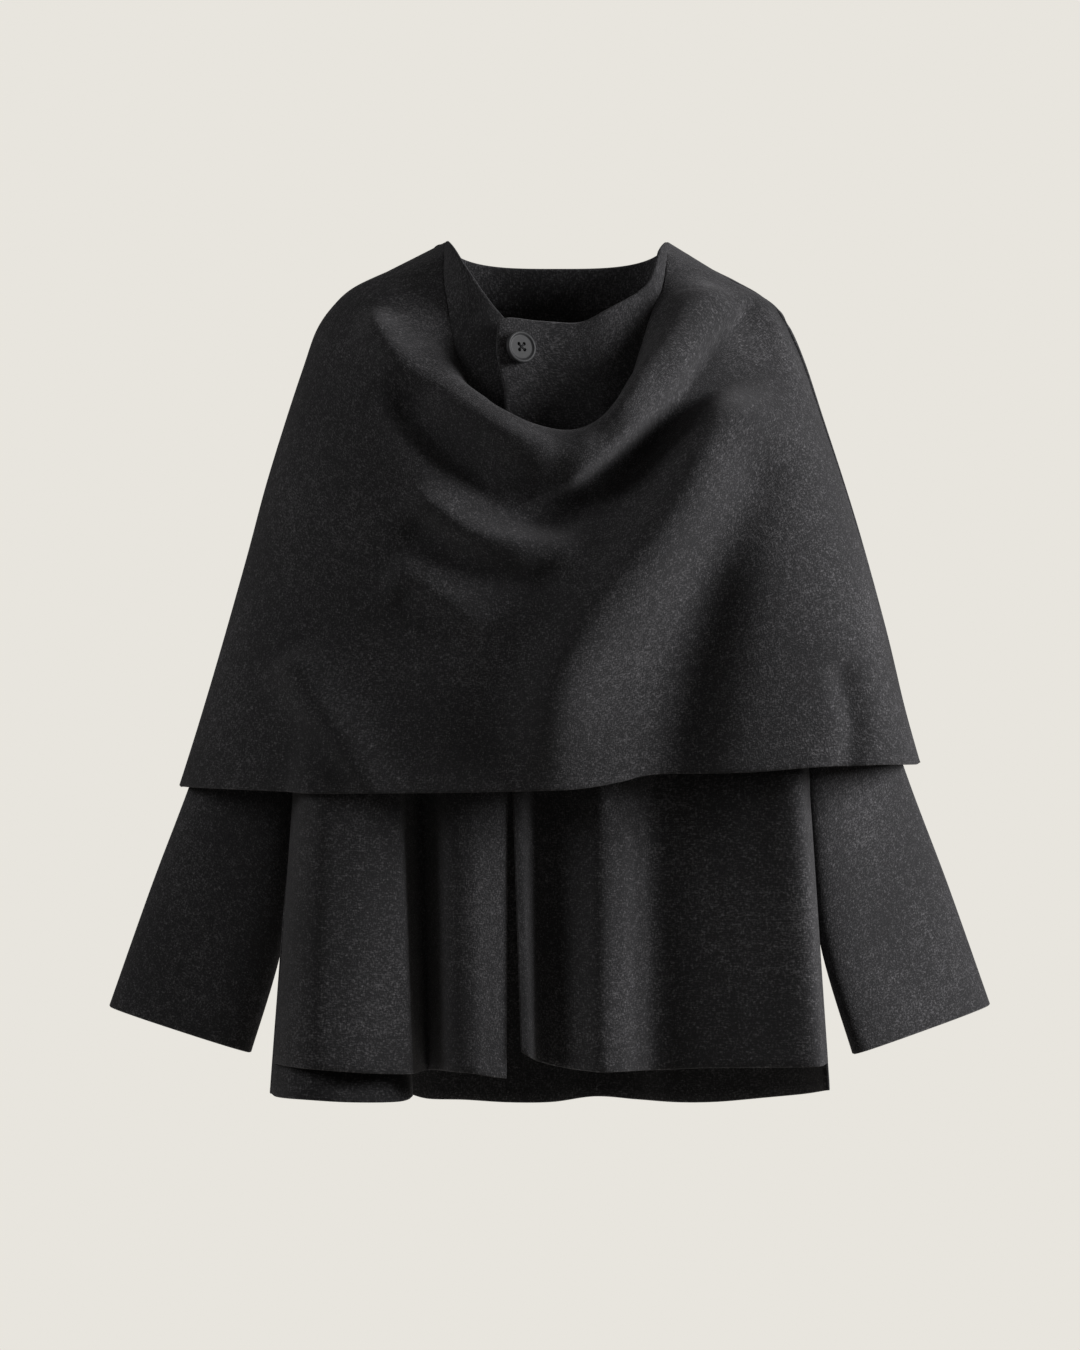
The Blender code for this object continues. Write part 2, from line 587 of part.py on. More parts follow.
def cape_panel(columns, rows, top_line, hem_line, top_share, folds, behind):
    """Part of the cape between a top line and the hem, both seen from the front.

    The front outline is a blend of the four edges: top line, hem and the two side lines,
    which start at top_share of their length.  Its depth is the plan section plus the folds,
    and never less than what lies under it.
    """
    even = np.linspace(0, 1, columns)[None, :]
    across = even - CROWDING * np.sin(2 * np.pi * even) / (2 * np.pi)
    down = np.asarray(rows, float)[:, None]
    top = along(np.array(top_line, float), across[0])
    hem = along(np.array(hem_line, float), across[0])
    right_side = cape_side("right_x", top_share[0] + (1 - top_share[0]) * down[:, 0])[:, [0, 2]]
    left_side = cape_side("left_x", top_share[1] + (1 - top_share[1]) * down[:, 0])[:, [0, 2]]
    right_side = right_side + down * (hem[0] - right_side[-1]) + (1 - down) * (top[0] - right_side[0])
    left_side = left_side + down * (hem[-1] - left_side[-1]) + (1 - down) * (top[-1] - left_side[0])
    flat = ((1 - down)[..., None] * top + down[..., None] * hem
            + (1 - across)[..., None] * right_side[:, None] + across[..., None] * left_side[:, None]
            - (1 - down)[..., None] * ((1 - across)[..., None] * top[0] + across[..., None] * top[-1])
            - down[..., None] * ((1 - across)[..., None] * hem[0] + across[..., None] * hem[-1]))
    x, z = flat[..., 0], flat[..., 1]
    depth = section_depth(x, z, behind)
    inner = ease(np.minimum(across, 1 - across) / SIDE_CALM)
    height = fold_height(x, z, folds) * inner
    limit = under_limit(x, z, BACK_UNDER if behind else FRONT_UNDER, behind)
    outward = 1 if behind else -1
    lack = (limit - depth) * outward + CLOTH + CAPE_REST - height
    y = depth + outward * (height + spread(np.where(inner > 0, np.maximum(lack, 0), 0)))
    y[:, [0, -1]] = table_at(CAPE_SIDES, SIDE_COLUMNS, "y", z[:, [0, -1]])
    return np.stack([x, y, z], axis=-1)


FRONT_COLUMNS, BACK_COLUMNS = 45, 33
SPREAD_STEPS = 12
SIDE_CALM = 0.05                # share of the width in which folds die out towards the side lines
CROWDING = 0.35                 # how much closer the columns stand near the side lines
CAPE_ROWS = np.concatenate([np.linspace(0, 0.5, 14), np.linspace(0.5, 1, 10)[1:]])
ROLL_RISE = 0.35                # height of the roll's bend over the rim, as a share of its overhang
ROLL_OUT = 0.3                  # how far the bend moves towards the rim at full overhang
FULL_OVERHANG, FULL_DROP = 30, 12
RIM_SHARE = (0.088, 0.10)       # where the cowl's rim meets each side line
apron = cape_panel(FRONT_COLUMNS, CAPE_ROWS, COWL_RIM, CAPE_FRONT_HEM, RIM_SHARE, CAPE_FRONT_FOLDS, False)

neck_line = along(np.array(CAPE_FRONT_NECK, float), np.linspace(0, 1, FRONT_COLUMNS))
neck_y = under_limit(neck_line[:, 0], neck_line[:, 1], FRONT_UNDER, False)
neck_y -= CLOTH + neck_line[:, 2] + NECK_CLEARANCE
neck_edge = np.stack([neck_line[:, 0], neck_y, neck_line[:, 1]], axis=-1)
neck_edge[[0, -1], 1] = 0
rim = apron[0]
overhang = np.clip(neck_edge[:, 1] - rim[:, 1], 0, FULL_OVERHANG)
overhang *= ease((rim[:, 2] - neck_edge[:, 2]) / FULL_DROP)
bend = 0.5 * (rim + neck_edge)
bend[:, 1] += ROLL_OUT * (rim - neck_edge)[:, 1] * (overhang / FULL_OVERHANG)
bend[:, 2] = np.maximum(bend[:, 2], rim[:, 2]) + ROLL_RISE * overhang
bend[[0, -1]] = 0.5 * (rim + neck_edge)[[0, -1]]
roll_share = np.array([0, 0.3, 0.58, 0.82])[:, None, None]
roll = (1 - roll_share) ** 2 * neck_edge + 2 * roll_share * (1 - roll_share) * bend + roll_share ** 2 * rim
cape_front = np.concatenate([roll, apron])

side_steps = np.linalg.norm(np.diff(cape_front[:, [0, -1]], axis=0), axis=-1).sum(axis=1)
side_share = np.concatenate([[0], np.cumsum(side_steps)]) / side_steps.sum()
cape_back = cape_panel(BACK_COLUMNS, side_share, [row[:2] for row in CAPE_BACK_NECK],
                       CAPE_BACK_HEM, (0, 0), CAPE_BACK_FOLDS, True)[:, ::-1]
cape_back[:, 0], cape_back[:, -1] = cape_front[:, -1], cape_front[:, 0]
cape_front_normals, cape_back_normals = grid_normals(cape_front), grid_normals(cape_back)
for grid, normals, towards in ((cape_front, cape_front_normals, -1), (cape_back, cape_back_normals, 1)):
    seam_trim(grid, normals, 0, towards)
    seam_trim(grid, normals, -1, towards)
add_wall("cape_front", cape_front, cape_front_normals, CHARCOAL)
add_wall("cape_back", cape_back, cape_back_normals, CHARCOAL)


# --- Button --------------------------------------------------------------------------

BUTTON_SIDES, HOLE_SIDES = 36, 12
BUTTON_EDGE = 1.0               # bevel of the rim's outer corners


def turned(profile, sides):
    """Points and faces of a profile of (radius, height) turned round the axis, both ends on it."""
    turn = np.linspace(0, 2 * np.pi, sides, endpoint=False)
    rings = np.array([[(radius * np.cos(a), radius * np.sin(a), height) for a in turn]
                      for radius, height in profile[1:-1]]).reshape(-1, 3)
    ends = [(0, 0, profile[0][1]), (0, 0, profile[-1][1])]
    bottom, top = len(rings), len(rings) + 1
    faces = []
    for side in range(sides):
        after = (side + 1) % sides
        last = len(rings) - sides
        faces.append((bottom, after, side))
        faces.append((top, last + side, last + after))
        for ring in range(0, last, sides):
            faces.append((ring + side, ring + after, ring + sides + after, ring + sides + side))
    return np.concatenate([rings, ends]), faces


distance = np.hypot(over_front[..., 0] - BUTTON_X, over_front[..., 2] - BUTTON_Z)
seat_at = np.unravel_index(distance.argmin(), distance.shape)
facing = Vector(over_normals[seat_at])
seat = Vector((BUTTON_X, over_front[seat_at][1], BUTTON_Z))
seat.y -= (Vector(over_front[seat_at]) - seat).dot(facing) / -facing.y
turn_to_face = Matrix.LocRotScale((seat + facing * BUTTON_GAP) * MM, facing.to_track_quat("Z", "Y"), None)

inner_rim = BUTTON_RADIUS - BUTTON_RIM
button_points, button_faces = turned((
    (0, 0), (BUTTON_RADIUS - BUTTON_EDGE, 0), (BUTTON_RADIUS, BUTTON_EDGE),
    (BUTTON_RADIUS, BUTTON_THICKNESS - BUTTON_EDGE), (BUTTON_RADIUS - BUTTON_EDGE, BUTTON_THICKNESS),
    (inner_rim, BUTTON_THICKNESS), (inner_rim - BUTTON_DISH, BUTTON_THICKNESS - BUTTON_DISH),
    (0, BUTTON_THICKNESS - BUTTON_DISH),
), BUTTON_SIDES)
button = add_mesh("button", button_points, button_faces, BUTTON_BLACK, 0.35)
button.matrix_world = turn_to_face

hole_points, hole_faces = turned((
    (0, -1), (BUTTON_HOLE_RADIUS, -1), (BUTTON_HOLE_RADIUS, BUTTON_THICKNESS + 1), (0, BUTTON_THICKNESS + 1),
), HOLE_SIDES)
centres = [(x, y, 0) for x in (-BUTTON_HOLE_OFFSET, BUTTON_HOLE_OFFSET)
           for y in (-BUTTON_HOLE_OFFSET, BUTTON_HOLE_OFFSET)]
drill = add_mesh("button_holes", np.concatenate([hole_points + centre for centre in centres]),
                 [tuple(index + copy * len(hole_points) for index in face)
                  for copy in range(len(centres)) for face in hole_faces], BUTTON_BLACK, 0.35)
drill.matrix_world = turn_to_face
drill.hide_render = True
drill.display_type = "WIRE"
holes = button.modifiers.new("holes", "BOOLEAN")
holes.operation = "DIFFERENCE"
holes.solver = "EXACT"
holes.object = drill
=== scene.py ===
# %% [markdown]
# # A brushed wool jacket under a cowl-necked cape
#
# The real garment is two layers cut from one cloth, a charcoal wool whose brushed face hides
# its weave.  Underneath is a straight jacket with wide set-in sleeves, closed by one button at
# the neck.  Over it hangs a short cape that is joined to the jacket at the neck and falls in
# front in a deep cowl, a neckline cut so wide that the spare cloth drops into soft folds.
#
# There is no wearer, and the garment still stands filled out.  It is therefore built as thin
# walls of cloth round a hollow, each one a surface worked out by a formula on a grid.

import bpy
import numpy as np
from mathutils import Matrix, Vector


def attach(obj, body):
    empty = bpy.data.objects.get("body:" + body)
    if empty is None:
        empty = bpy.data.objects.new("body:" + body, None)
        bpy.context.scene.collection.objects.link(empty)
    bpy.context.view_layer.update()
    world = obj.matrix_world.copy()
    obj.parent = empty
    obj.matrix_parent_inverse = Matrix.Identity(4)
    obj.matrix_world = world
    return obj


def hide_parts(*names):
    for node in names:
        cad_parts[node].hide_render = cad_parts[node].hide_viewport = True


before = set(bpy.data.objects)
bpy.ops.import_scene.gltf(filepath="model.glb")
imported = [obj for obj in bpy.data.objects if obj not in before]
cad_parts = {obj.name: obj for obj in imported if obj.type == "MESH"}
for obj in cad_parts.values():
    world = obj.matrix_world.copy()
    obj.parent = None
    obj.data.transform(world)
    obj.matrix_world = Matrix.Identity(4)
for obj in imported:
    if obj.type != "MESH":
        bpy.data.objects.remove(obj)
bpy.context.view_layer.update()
print("nodes:", sorted(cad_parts))

# %% [markdown]
# ## The camera
#
# The garment was photographed straight from the front with a long lens, which hardly makes
# near parts look bigger.  Blender fits its 36 mm sensor to the picture's longer side, here its
# height, so a lens of 36 mm x distance / height shows exactly that height at that distance.

# %% Camera
MM = 0.001
SENSOR = 36    # mm, Blender's own
PICTURE_HEIGHT = 1134 * MM
PICTURE_CENTRE = (-9.2 * MM, -315 * MM)
CAMERA_DISTANCE = 6.4
GARMENT_MIDDLE_Y = -60 * MM

camera = bpy.data.objects.new("camera", bpy.data.cameras.new("camera"))
camera.data.lens = SENSOR * CAMERA_DISTANCE / PICTURE_HEIGHT
camera.location = (PICTURE_CENTRE[0], GARMENT_MIDDLE_Y - CAMERA_DISTANCE, PICTURE_CENTRE[1])
camera.rotation_euler = (np.pi / 2, 0, 0)
bpy.context.scene.collection.objects.link(camera)
bpy.context.scene.camera = camera
print("lens:", round(camera.data.lens, 1), "mm")

# %% [markdown]
# ## Small tools for curves and grids
#
# A pattern cutter draws a sleeve or a hem through a few measured points with a flexible
# curve.  The Catmull-Rom curve does the same in numbers: it passes through every point, and
# its slope at a point runs parallel to the line between the point's two neighbours.

# %% Curves through measured points
CURVE_STEPS = 24    # between one measured point and the next


def even(count):
    """Shares from 0 to 1, evenly spaced."""
    return np.linspace(0, 1, count)


def columns_of(names, rows):
    """A table as one array for each name; words in a row only say what the row is."""
    numbers = np.array([[value for value in row if not isinstance(value, str)] for row in rows], float)
    return dict(zip(names.split(), numbers.T))


def smooth_through(values, where):
    """Catmull-Rom curve through equally spaced values, read at fractional indices.

    Between two values the point is a cubic in t, the share of the way from one to the next,
    whose end slopes are half the difference of the neighbours on either side.
    """
    values = np.asarray(values, float)
    where = np.clip(np.asarray(where, float), 0, len(values) - 1)
    start = np.minimum(where.astype(int), len(values) - 2)
    t = (where - start).reshape(where.shape + (1,) * (values.ndim - 1))
    before = values[np.maximum(start - 1, 0)]
    here, there = values[start], values[start + 1]
    after = values[np.minimum(start + 2, len(values) - 1)]
    return 0.5 * (2 * here + (there - before) * t
                  + (2 * before - 5 * here + 4 * there - after) * t ** 2
                  + (3 * here - before - 3 * there + after) * t ** 3)


def along(points, share):
    """Points at the given shares of the length of a smooth curve through points."""
    spans = len(points) - 1
    fine = smooth_through(points, np.linspace(0, spans, CURVE_STEPS * spans + 1))
    length = np.concatenate([[0], np.cumsum(np.linalg.norm(np.diff(fine, axis=0), axis=1))])
    target = np.asarray(share) * length[-1]
    return np.stack([np.interp(target, length, fine[:, axis]) for axis in range(fine.shape[1])], axis=-1)


def ease(value):
    """Smooth step: 3 v squared minus 2 v cubed, from 0 to 1."""
    value = np.clip(value, 0, 1)
    return value * value * (3 - 2 * value)


def unit(vectors):
    """Vectors scaled to length one."""
    return vectors / np.maximum(np.linalg.norm(vectors, axis=-1, keepdims=True), 1e-9)


def grid_normals(grid, closed=False):
    """Outward normals: the slope down the grid crossed with the slope across it."""
    if closed:
        across = np.roll(grid, -1, axis=1) - np.roll(grid, 1, axis=1)
    else:
        across = np.gradient(grid, axis=1)
    return unit(np.cross(np.gradient(grid, axis=0), across))


def relaxed(grid, steps, weight=0.5):
    """Grid whose inner points move part of the way to the middle of their four neighbours."""
    grid = grid.copy()
    weight = np.broadcast_to(weight, grid.shape[:2])[1:-1, 1:-1, None]
    for _ in range(steps):
        mean = (grid[:-2, 1:-1] + grid[2:, 1:-1] + grid[1:-1, :-2] + grid[1:-1, 2:]) / 4
        grid[1:-1, 1:-1] += weight * (mean - grid[1:-1, 1:-1])
    return grid


print("a curve through 0, 1, 0 at its middle:", smooth_through([0, 1, 0], [0.5, 1.5]))

# %% [markdown]
# ## The wool
#
# The cloth is woven from a dark grey yarn with pale fibres blended in, then brushed until a
# short nap covers it.  Close up that is thousands of fibres lying every way, a few of them
# almost white.  A stretched noise gives the lie of the fibres, a second one picks out the
# pale ones, and a slow one leaves the cloth a little uneven, as brushing does.  All of it is
# one shader group on the cloth's own UV map, which is laid out in metres, so that the
# pattern turns and hangs with the cloth.

# %% Wool shader group
def new_node(tree, kind, place, **values):
    """A node of a kind at a place in a tree, with its settings and named input values."""
    node = tree.nodes.new(kind)
    node.location = place
    for name, value in values.items():
        if hasattr(node, name):
            setattr(node, name, value)
        else:
            node.inputs[name.replace("_", " ")].default_value = value
    return node


def noise(tree, coordinates, stretch, place, detail, roughness):
    """Noise whose cells measure one over stretch metres each way."""
    mapping = new_node(tree, "ShaderNodeMapping", (place[0] - 200, place[1]))
    mapping.inputs["Scale"].default_value = stretch
    texture = new_node(tree, "ShaderNodeTexNoise", place, Scale=1.0, Detail=detail, Roughness=roughness)
    tree.links.new(coordinates, mapping.inputs["Vector"])
    tree.links.new(mapping.outputs["Vector"], texture.inputs["Vector"])
    return texture.outputs["Fac"]


def ramp(tree, value, low, high, place):
    """A value turned into 0 below low and 1 above high, smoothly."""
    node = new_node(tree, "ShaderNodeMapRange", place, interpolation_type="SMOOTHSTEP")
    node.inputs["From Min"].default_value = low
    node.inputs["From Max"].default_value = high
    tree.links.new(value, node.inputs["Value"])
    return node.outputs["Result"]


def sum_of(tree, first, first_share, second, place):
    """first times first_share plus second."""
    node = new_node(tree, "ShaderNodeMath", place, operation="MULTIPLY_ADD")
    tree.links.new(first, node.inputs[0])
    node.inputs[1].default_value = first_share
    tree.links.new(second, node.inputs[2])
    return node.outputs["Value"]


def new_material(name, **values):
    """A material with its tree and its principled shader, which takes the named input values."""
    made = bpy.data.materials.new(name)
    made.use_nodes = True
    shader = made.node_tree.nodes["Principled BSDF"]
    for key, value in values.items():
        shader.inputs[key.replace("_", " ")].default_value = value
    return made, made.node_tree, shader


def between(tree, share, place, first=(0, 0, 0, 1), second=(1, 1, 1, 1)):
    """Mix node that goes from a first colour to a second one by a share."""
    node = new_node(tree, "ShaderNodeMix", place, data_type="RGBA")
    node.inputs[6].default_value, node.inputs[7].default_value = first, second
    tree.links.new(share, node.inputs[0])
    return node


WOOL_NOISES = (    # cells to the metre across, down and through, detail, roughness
    ((900, 330, 1), 3.0, 0.65),    # strands
    ((380, 800, 1), 3.0, 0.65),    # strands crossing them
    ((150, 110, 1), 2.0, 0.5),     # clumps
    ((14, 11, 1), 3.0, 0.5),       # mottle
)
CLUMP_SHARE, MOTTLE_SHARE = 0.35, 0.25
PALE_FROM, PALE_TO = 1.22, 1.85


def make_wool_group():
    """Brushed wool: ground and pale colour in, heathered colour and nap height out."""
    group = bpy.data.node_groups.new("brushed_wool", "ShaderNodeTree")
    for name, way, kind in (("Ground", "INPUT", "Color"), ("Pale Fibre", "INPUT", "Color"),
                            ("Cloth", "INPUT", "Vector"), ("Colour", "OUTPUT", "Color"),
                            ("Height", "OUTPUT", "Float")):
        group.interface.new_socket(name, in_out=way, socket_type="NodeSocket" + kind)
    inside = new_node(group, "NodeGroupInput", (-1000, 0))
    outside = new_node(group, "NodeGroupOutput", (600, 0))
    strands, crossing, clumps, mottle = (
        noise(group, inside.outputs["Cloth"], stretch, (-500, 300 - 250 * row), detail, roughness)
        for row, (stretch, detail, roughness) in enumerate(WOOL_NOISES))
    fibres = sum_of(group, strands, 1.0, crossing, (-250, 200))
    uneven = sum_of(group, clumps, CLUMP_SHARE, fibres, (-80, 100))
    uneven = sum_of(group, mottle, MOTTLE_SHARE, uneven, (80, 0))
    colour = between(group, ramp(group, uneven, PALE_FROM, PALE_TO, (240, 0)), (420, 100))
    group.links.new(inside.outputs["Ground"], colour.inputs[6])
    group.links.new(inside.outputs["Pale Fibre"], colour.inputs[7])
    group.links.new(colour.outputs[2], outside.inputs["Colour"])
    group.links.new(uneven, outside.inputs["Height"])
    return group


WOOL_GROUP = make_wool_group()
print("wool group nodes:", len(WOOL_GROUP.nodes))

# %% Wool material
GROUND = (0.0235, 0.0232, 0.0248, 1)
PALE_FIBRE = (0.2, 0.194, 0.204, 1)
NAP_DEPTH = 0.5 * MM


def make_wool(name):
    """Principled cloth with the wool group on its colour and bump."""
    made, tree, shader = new_material(name, Roughness=0.95, Specular_IOR_Level=0.2, Sheen_Weight=0.2,
                                      Sheen_Roughness=0.55, Sheen_Tint=(0.75, 0.73, 0.76, 1))
    cloth = new_node(tree, "ShaderNodeUVMap", (-900, 0), uv_map="cloth")
    wool = new_node(tree, "ShaderNodeGroup", (-600, 0), node_tree=WOOL_GROUP)
    wool.inputs["Ground"].default_value = GROUND
    wool.inputs["Pale Fibre"].default_value = PALE_FIBRE
    bump = new_node(tree, "ShaderNodeBump", (-300, -200), Strength=1.0, Distance=NAP_DEPTH)
    tree.links.new(cloth.outputs["UV"], wool.inputs["Cloth"])
    tree.links.new(wool.outputs["Colour"], shader.inputs["Base Color"])
    tree.links.new(wool.outputs["Height"], bump.inputs["Height"])
    tree.links.new(bump.outputs["Normal"], shader.inputs["Normal"])
    return made


WOOL = make_wool("charcoal_wool")
print("material:", WOOL.name)

# %% [markdown]
# ## A wall of cloth
#
# Every panel is a grid of points on the outside of the cloth.  Its inside is the same grid
# moved one thickness inwards, and a row of points between the two, standing a little proud,
# rounds the edge as a turned and pressed edge is round.

# %% Cloth walls
CLOTH = 2.4
EDGE_ROUND = 0.9


def lattice_faces(rows, columns, closed, first=0, flip=False):
    """Quads of a grid of points: each joins a point to its right and lower neighbours."""
    row, strip = np.meshgrid(np.arange(rows - 1), np.arange(columns if closed else columns - 1),
                             indexing="ij")
    here = row * columns + strip
    there = row * columns + (strip + 1) % columns
    quads = np.stack([here, here + columns, there + columns, there], axis=-1).reshape(-1, 4) + first
    return quads[:, ::-1] if flip else quads


def edge_loops(rows, columns, closed):
    """Indices of each edge of a grid, in order, and of the point one step inside each."""
    index = np.arange(rows * columns).reshape(rows, columns)
    if closed:
        return [(index[0], index[1]), (index[-1][::-1], index[-2][::-1])]
    loop = np.concatenate([index[0, :-1], index[:-1, -1], index[-1, :0:-1], index[:0:-1, 0]])
    inside = np.clip(loop // columns, 1, rows - 2) * columns + np.clip(loop % columns, 1, columns - 2)
    return [(loop, inside)]


def cloth_lengths(grid):
    """UV of every grid point in metres: mean length across and down the cloth to it."""
    across = np.linalg.norm(np.diff(grid, axis=1), axis=-1).mean(axis=0)
    down = np.linalg.norm(np.diff(grid, axis=0), axis=-1).mean(axis=1)
    u = np.concatenate([[0], np.cumsum(across)])
    v = -np.concatenate([[0], np.cumsum(down)])
    return np.stack(np.meshgrid(u, v), axis=-1) * MM


def add_piece(name, mesh, made_of):
    """Object of a finished mesh, smooth, in a material and fixed to the body."""
    mesh.shade_smooth()
    mesh.materials.append(made_of)
    piece = bpy.data.objects.new(name, mesh)
    bpy.context.scene.collection.objects.link(piece)
    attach(piece, "root")
    print(f"{name}: {sum(len(face.vertices) - 2 for face in mesh.polygons)} triangles")
    return piece


def add_cloth(name, grid, closed=False):
    """Closed wall of cloth on a grid in millimetres, standing for the node of that name."""
    rows, columns = grid.shape[:2]
    outer = grid.reshape(-1, 3)
    inner = (grid - grid_normals(grid, closed) * CLOTH).reshape(-1, 3)
    faces = [lattice_faces(rows, columns, closed),
             lattice_faces(rows, columns, closed, first=len(outer), flip=True)]
    points, uv = [outer, inner], [cloth_lengths(grid).reshape(-1, 2)] * 2
    count = 2 * len(outer)
    for loop, inside in edge_loops(rows, columns, closed):
        proud = unit(outer[loop] - outer[inside]) * EDGE_ROUND
        points.append((outer[loop] + inner[loop]) / 2 + proud)
        uv.append(uv[0][loop])
        middle = count + np.arange(len(loop))
        after, middle_after = np.roll(loop, -1), np.roll(middle, -1)
        faces.append(np.stack([loop, after, middle_after, middle], axis=-1))
        faces.append(np.stack([middle, middle_after, after + len(outer), loop + len(outer)], axis=-1))
        count += len(loop)
    mesh = bpy.data.meshes.new(name + "_cloth")
    mesh.from_pydata((np.concatenate(points) * MM).tolist(), [], np.concatenate(faces).tolist())
    corner = np.empty(len(mesh.loops), np.int32)
    mesh.loops.foreach_get("vertex_index", corner)
    mesh.uv_layers.new(name="cloth").data.foreach_set("uv", np.concatenate(uv)[corner].ravel())
    cloth = add_piece(name + "_cloth", mesh, WOOL)
    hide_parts(name)
    return cloth


# %% [markdown]
# ## The jacket's body
#
# The body is a stack of rings.  Each ring is a slightly squared ellipse, lower in front than
# at the shoulder seam, and the stack narrows from the hem to the neck.  Below the cape the
# cloth hangs free in folds, so there the rings give way to two plan sections, drawn point
# by point where the folds are.

# %% Rings of the jacket
JACKET_RINGS = columns_of("middle_x half_width side_y side_z front_y front_z back_y back_z roundness", (
    ("neck top", 5, 94, 0, 52, -74, -20, 62, 32, 0.62),
    ("neck seam", 4, 104, 1, 30, -80, -45, 70, -4, 0.7),
    ("collarbone", 2, 140, 2, 13, -86, -80, 80, -50, 0.82),
    ("shoulder point", 0, 186, 4, -28, -92, -128, 90, -110, 0.87),
    ("mid armhole", 0, 188, 6, -120, -97, -188, 94, -175, 0.87),
    ("underarm", 0, 180, 4, -214, -100, -250, 92, -245, 0.87),
    ("waist", 0, 187, -8, -330, -102, -340, 84, -338, 0.87),
    ("cape hem level", 0, 218, -26, -415, -104, -415, 78, -415, 0.87),
))
SHOULDER, UNDERARM, DRAPE = 3, 5, 7
ARMHOLE_REACH, ARMHOLE_FULLNESS = 30.0, 0.55


def jacket_ring(level, angle):
    """Jacket surface: level counts the rings, angle is 0 in front, 90 at +X, 180 behind.

    x is half the width times sine, y runs from the side seam to the centre by cosine, both
    raised to the ring's roundness, and z falls from the side to the centre by cosine.
    """
    size = {name: smooth_through(values, level) for name, values in JACKET_RINGS.items()}
    turn = np.radians(angle)
    across = np.abs(np.sin(turn)) ** size["roundness"] * np.sign(np.sin(turn))
    ahead = np.abs(np.cos(turn)) ** size["roundness"]
    front = np.cos(turn) >= 0
    end_y = np.where(front, size["front_y"], size["back_y"])
    end_z = np.where(front, size["front_z"], size["back_z"])
    return np.stack([
        size["middle_x"] + size["half_width"] * across,
        size["side_y"] + (end_y - size["side_y"]) * ahead,
        size["side_z"] + (end_z - size["side_z"]) * np.abs(np.cos(turn)),
    ], axis=-1)


def armhole_cut(level):
    """Degrees that the armhole takes from the panel's side edge at a level."""
    share = np.clip((level - SHOULDER) / (UNDERARM - SHOULDER), 0, 1)
    return ARMHOLE_REACH * np.sin(np.pi * share) ** ARMHOLE_FULLNESS


print("chest width:", 2 * jacket_ring(4.0, 90.0)[0], "mm")

# %% Folds of the jacket below the cape
UNDER_FRONT_DRAPE = (    # x and y at the cape's hem, then x, y and z at the jacket's own
    ("side seam", -218, -26, -234, -22, -643),
    ("side turn", -215, -62, -232, -60, -641),
    ("quarter", -207, -98, -220, -100, -641),
    ("broad fold", -192, -121, -201, -124, -642),
    ("broad fold slope", -169, -123, -173, -126, -644),
    ("falling slope", -147, -118, -146, -120, -646),
    ("crisp edge", -128, -107, -119, -108, -647),
    ("under the edge", -121, -88, -112, -88, -647),
    ("valley", -110, -66, -104, -62, -646),
    ("valley rise", -99, -82, -95, -82, -645),
    ("second fold crest", -86, -108, -83, -111, -645),
    ("second fold slope", -68, -114, -65, -117, -646),
    ("run to the edge", -50, -109, -50, -111, -649),
    ("front edge", -36, -101, -37, -102, -651),
)
OVER_FRONT_DRAPE = (
    ("front edge", -31, -104, -24, -107, -629),
    ("edge turn", -24, -102, -17, -104, -633),
    ("front valley", -12, -87, -8, -86, -638),
    ("valley rise", 12, -88, 12, -88, -643),
    ("fold crest", 38, -110, 38, -114, -645),
    ("fold slope", 57, -106, 59, -109, -645),
    ("falling slope", 73, -90, 75, -91, -645),
    ("middle valley", 88, -82, 90, -80, -645),
    ("broad rise", 124, -90, 128, -89, -643),
    ("long rise", 166, -99, 174, -101, -642),
    ("broad crest", 205, -106, 220, -107, -641),
    ("side turn", 215, -82, 231, -82, -640),
    ("side front", 218, -50, 233, -48, -639),
    ("side seam", 218, -26, 234, -22, -641),
)
BACK_DRAPE = (
    ("right side seam", -218, -26, -234, -22, -668),
    ("right wing", -209, 2, -229, -56, -669),
    ("wing middle", -188, 26, -208, -100, -669),
    ("forward fold", -163, 42, -168, -110, -671),
    ("fold edge", -148, 49, -127, -97, -671),
    ("fold under", -137, 54, -118, -66, -667),
    ("fold hollow", -119, 61, -128, 34, -668),
    ("hollow turn", -98, 68, -108, 72, -677),
    ("right soft crest", -68, 75, -74, 87, -679),
    ("right plain", -34, 78, -36, 82, -681),
    ("middle hollow", 0, 76, 2, 70, -680),
    ("forward soft fold", 34, 73, 38, 46, -674),
    ("soft fold return", 62, 73, 72, 56, -677),
    ("left soft crest", 96, 70, 106, 86, -681),
    ("left plain", 132, 60, 142, 72, -680),
    ("left quarter", 170, 41, 184, 48, -675),
    ("left turn", 202, 12, 217, 16, -670),
    ("left side seam", 218, -26, 234, -22, -665),
)
UNDER_NECK = ((-90, 52.5), (-72, 28), (-54, 2), (-38, -17), (0, -31), (30, -36))    # x and z
OVER_NECK = ((-46, -22), (-38, -18.5), (-30, -18), (-14, -20), (0, -21), (16, -22), (26, -21), (34, -17.5),
             (48, -9), (62, -1), (72, 5), (79, 11), (84, 18), (88, 29), (92, 42), (98, 50))
NECK_LEVELS, NECK_FADE = 2.0, 1.5
LAP_FLARE = (    # x, and how proud the cloth stands there
    (-60, 8), (-46, 7), (-26, 1), (-6, -5), (18, -7), (44, -6), (70, -4), (100, -2), (140, 0),
)
FLARE_FULL, FLARE_GONE = 3.4, 5.4
print("folds:", len(UNDER_FRONT_DRAPE), len(OVER_FRONT_DRAPE), len(BACK_DRAPE), "plan points")

# %% One panel of the body
def smooth_table(pairs, x):
    """Smooth curve through a table's second column, read where x meets its first."""
    places, values = np.array(pairs, float).T
    return smooth_through(values, np.interp(x, places, np.arange(len(places))))


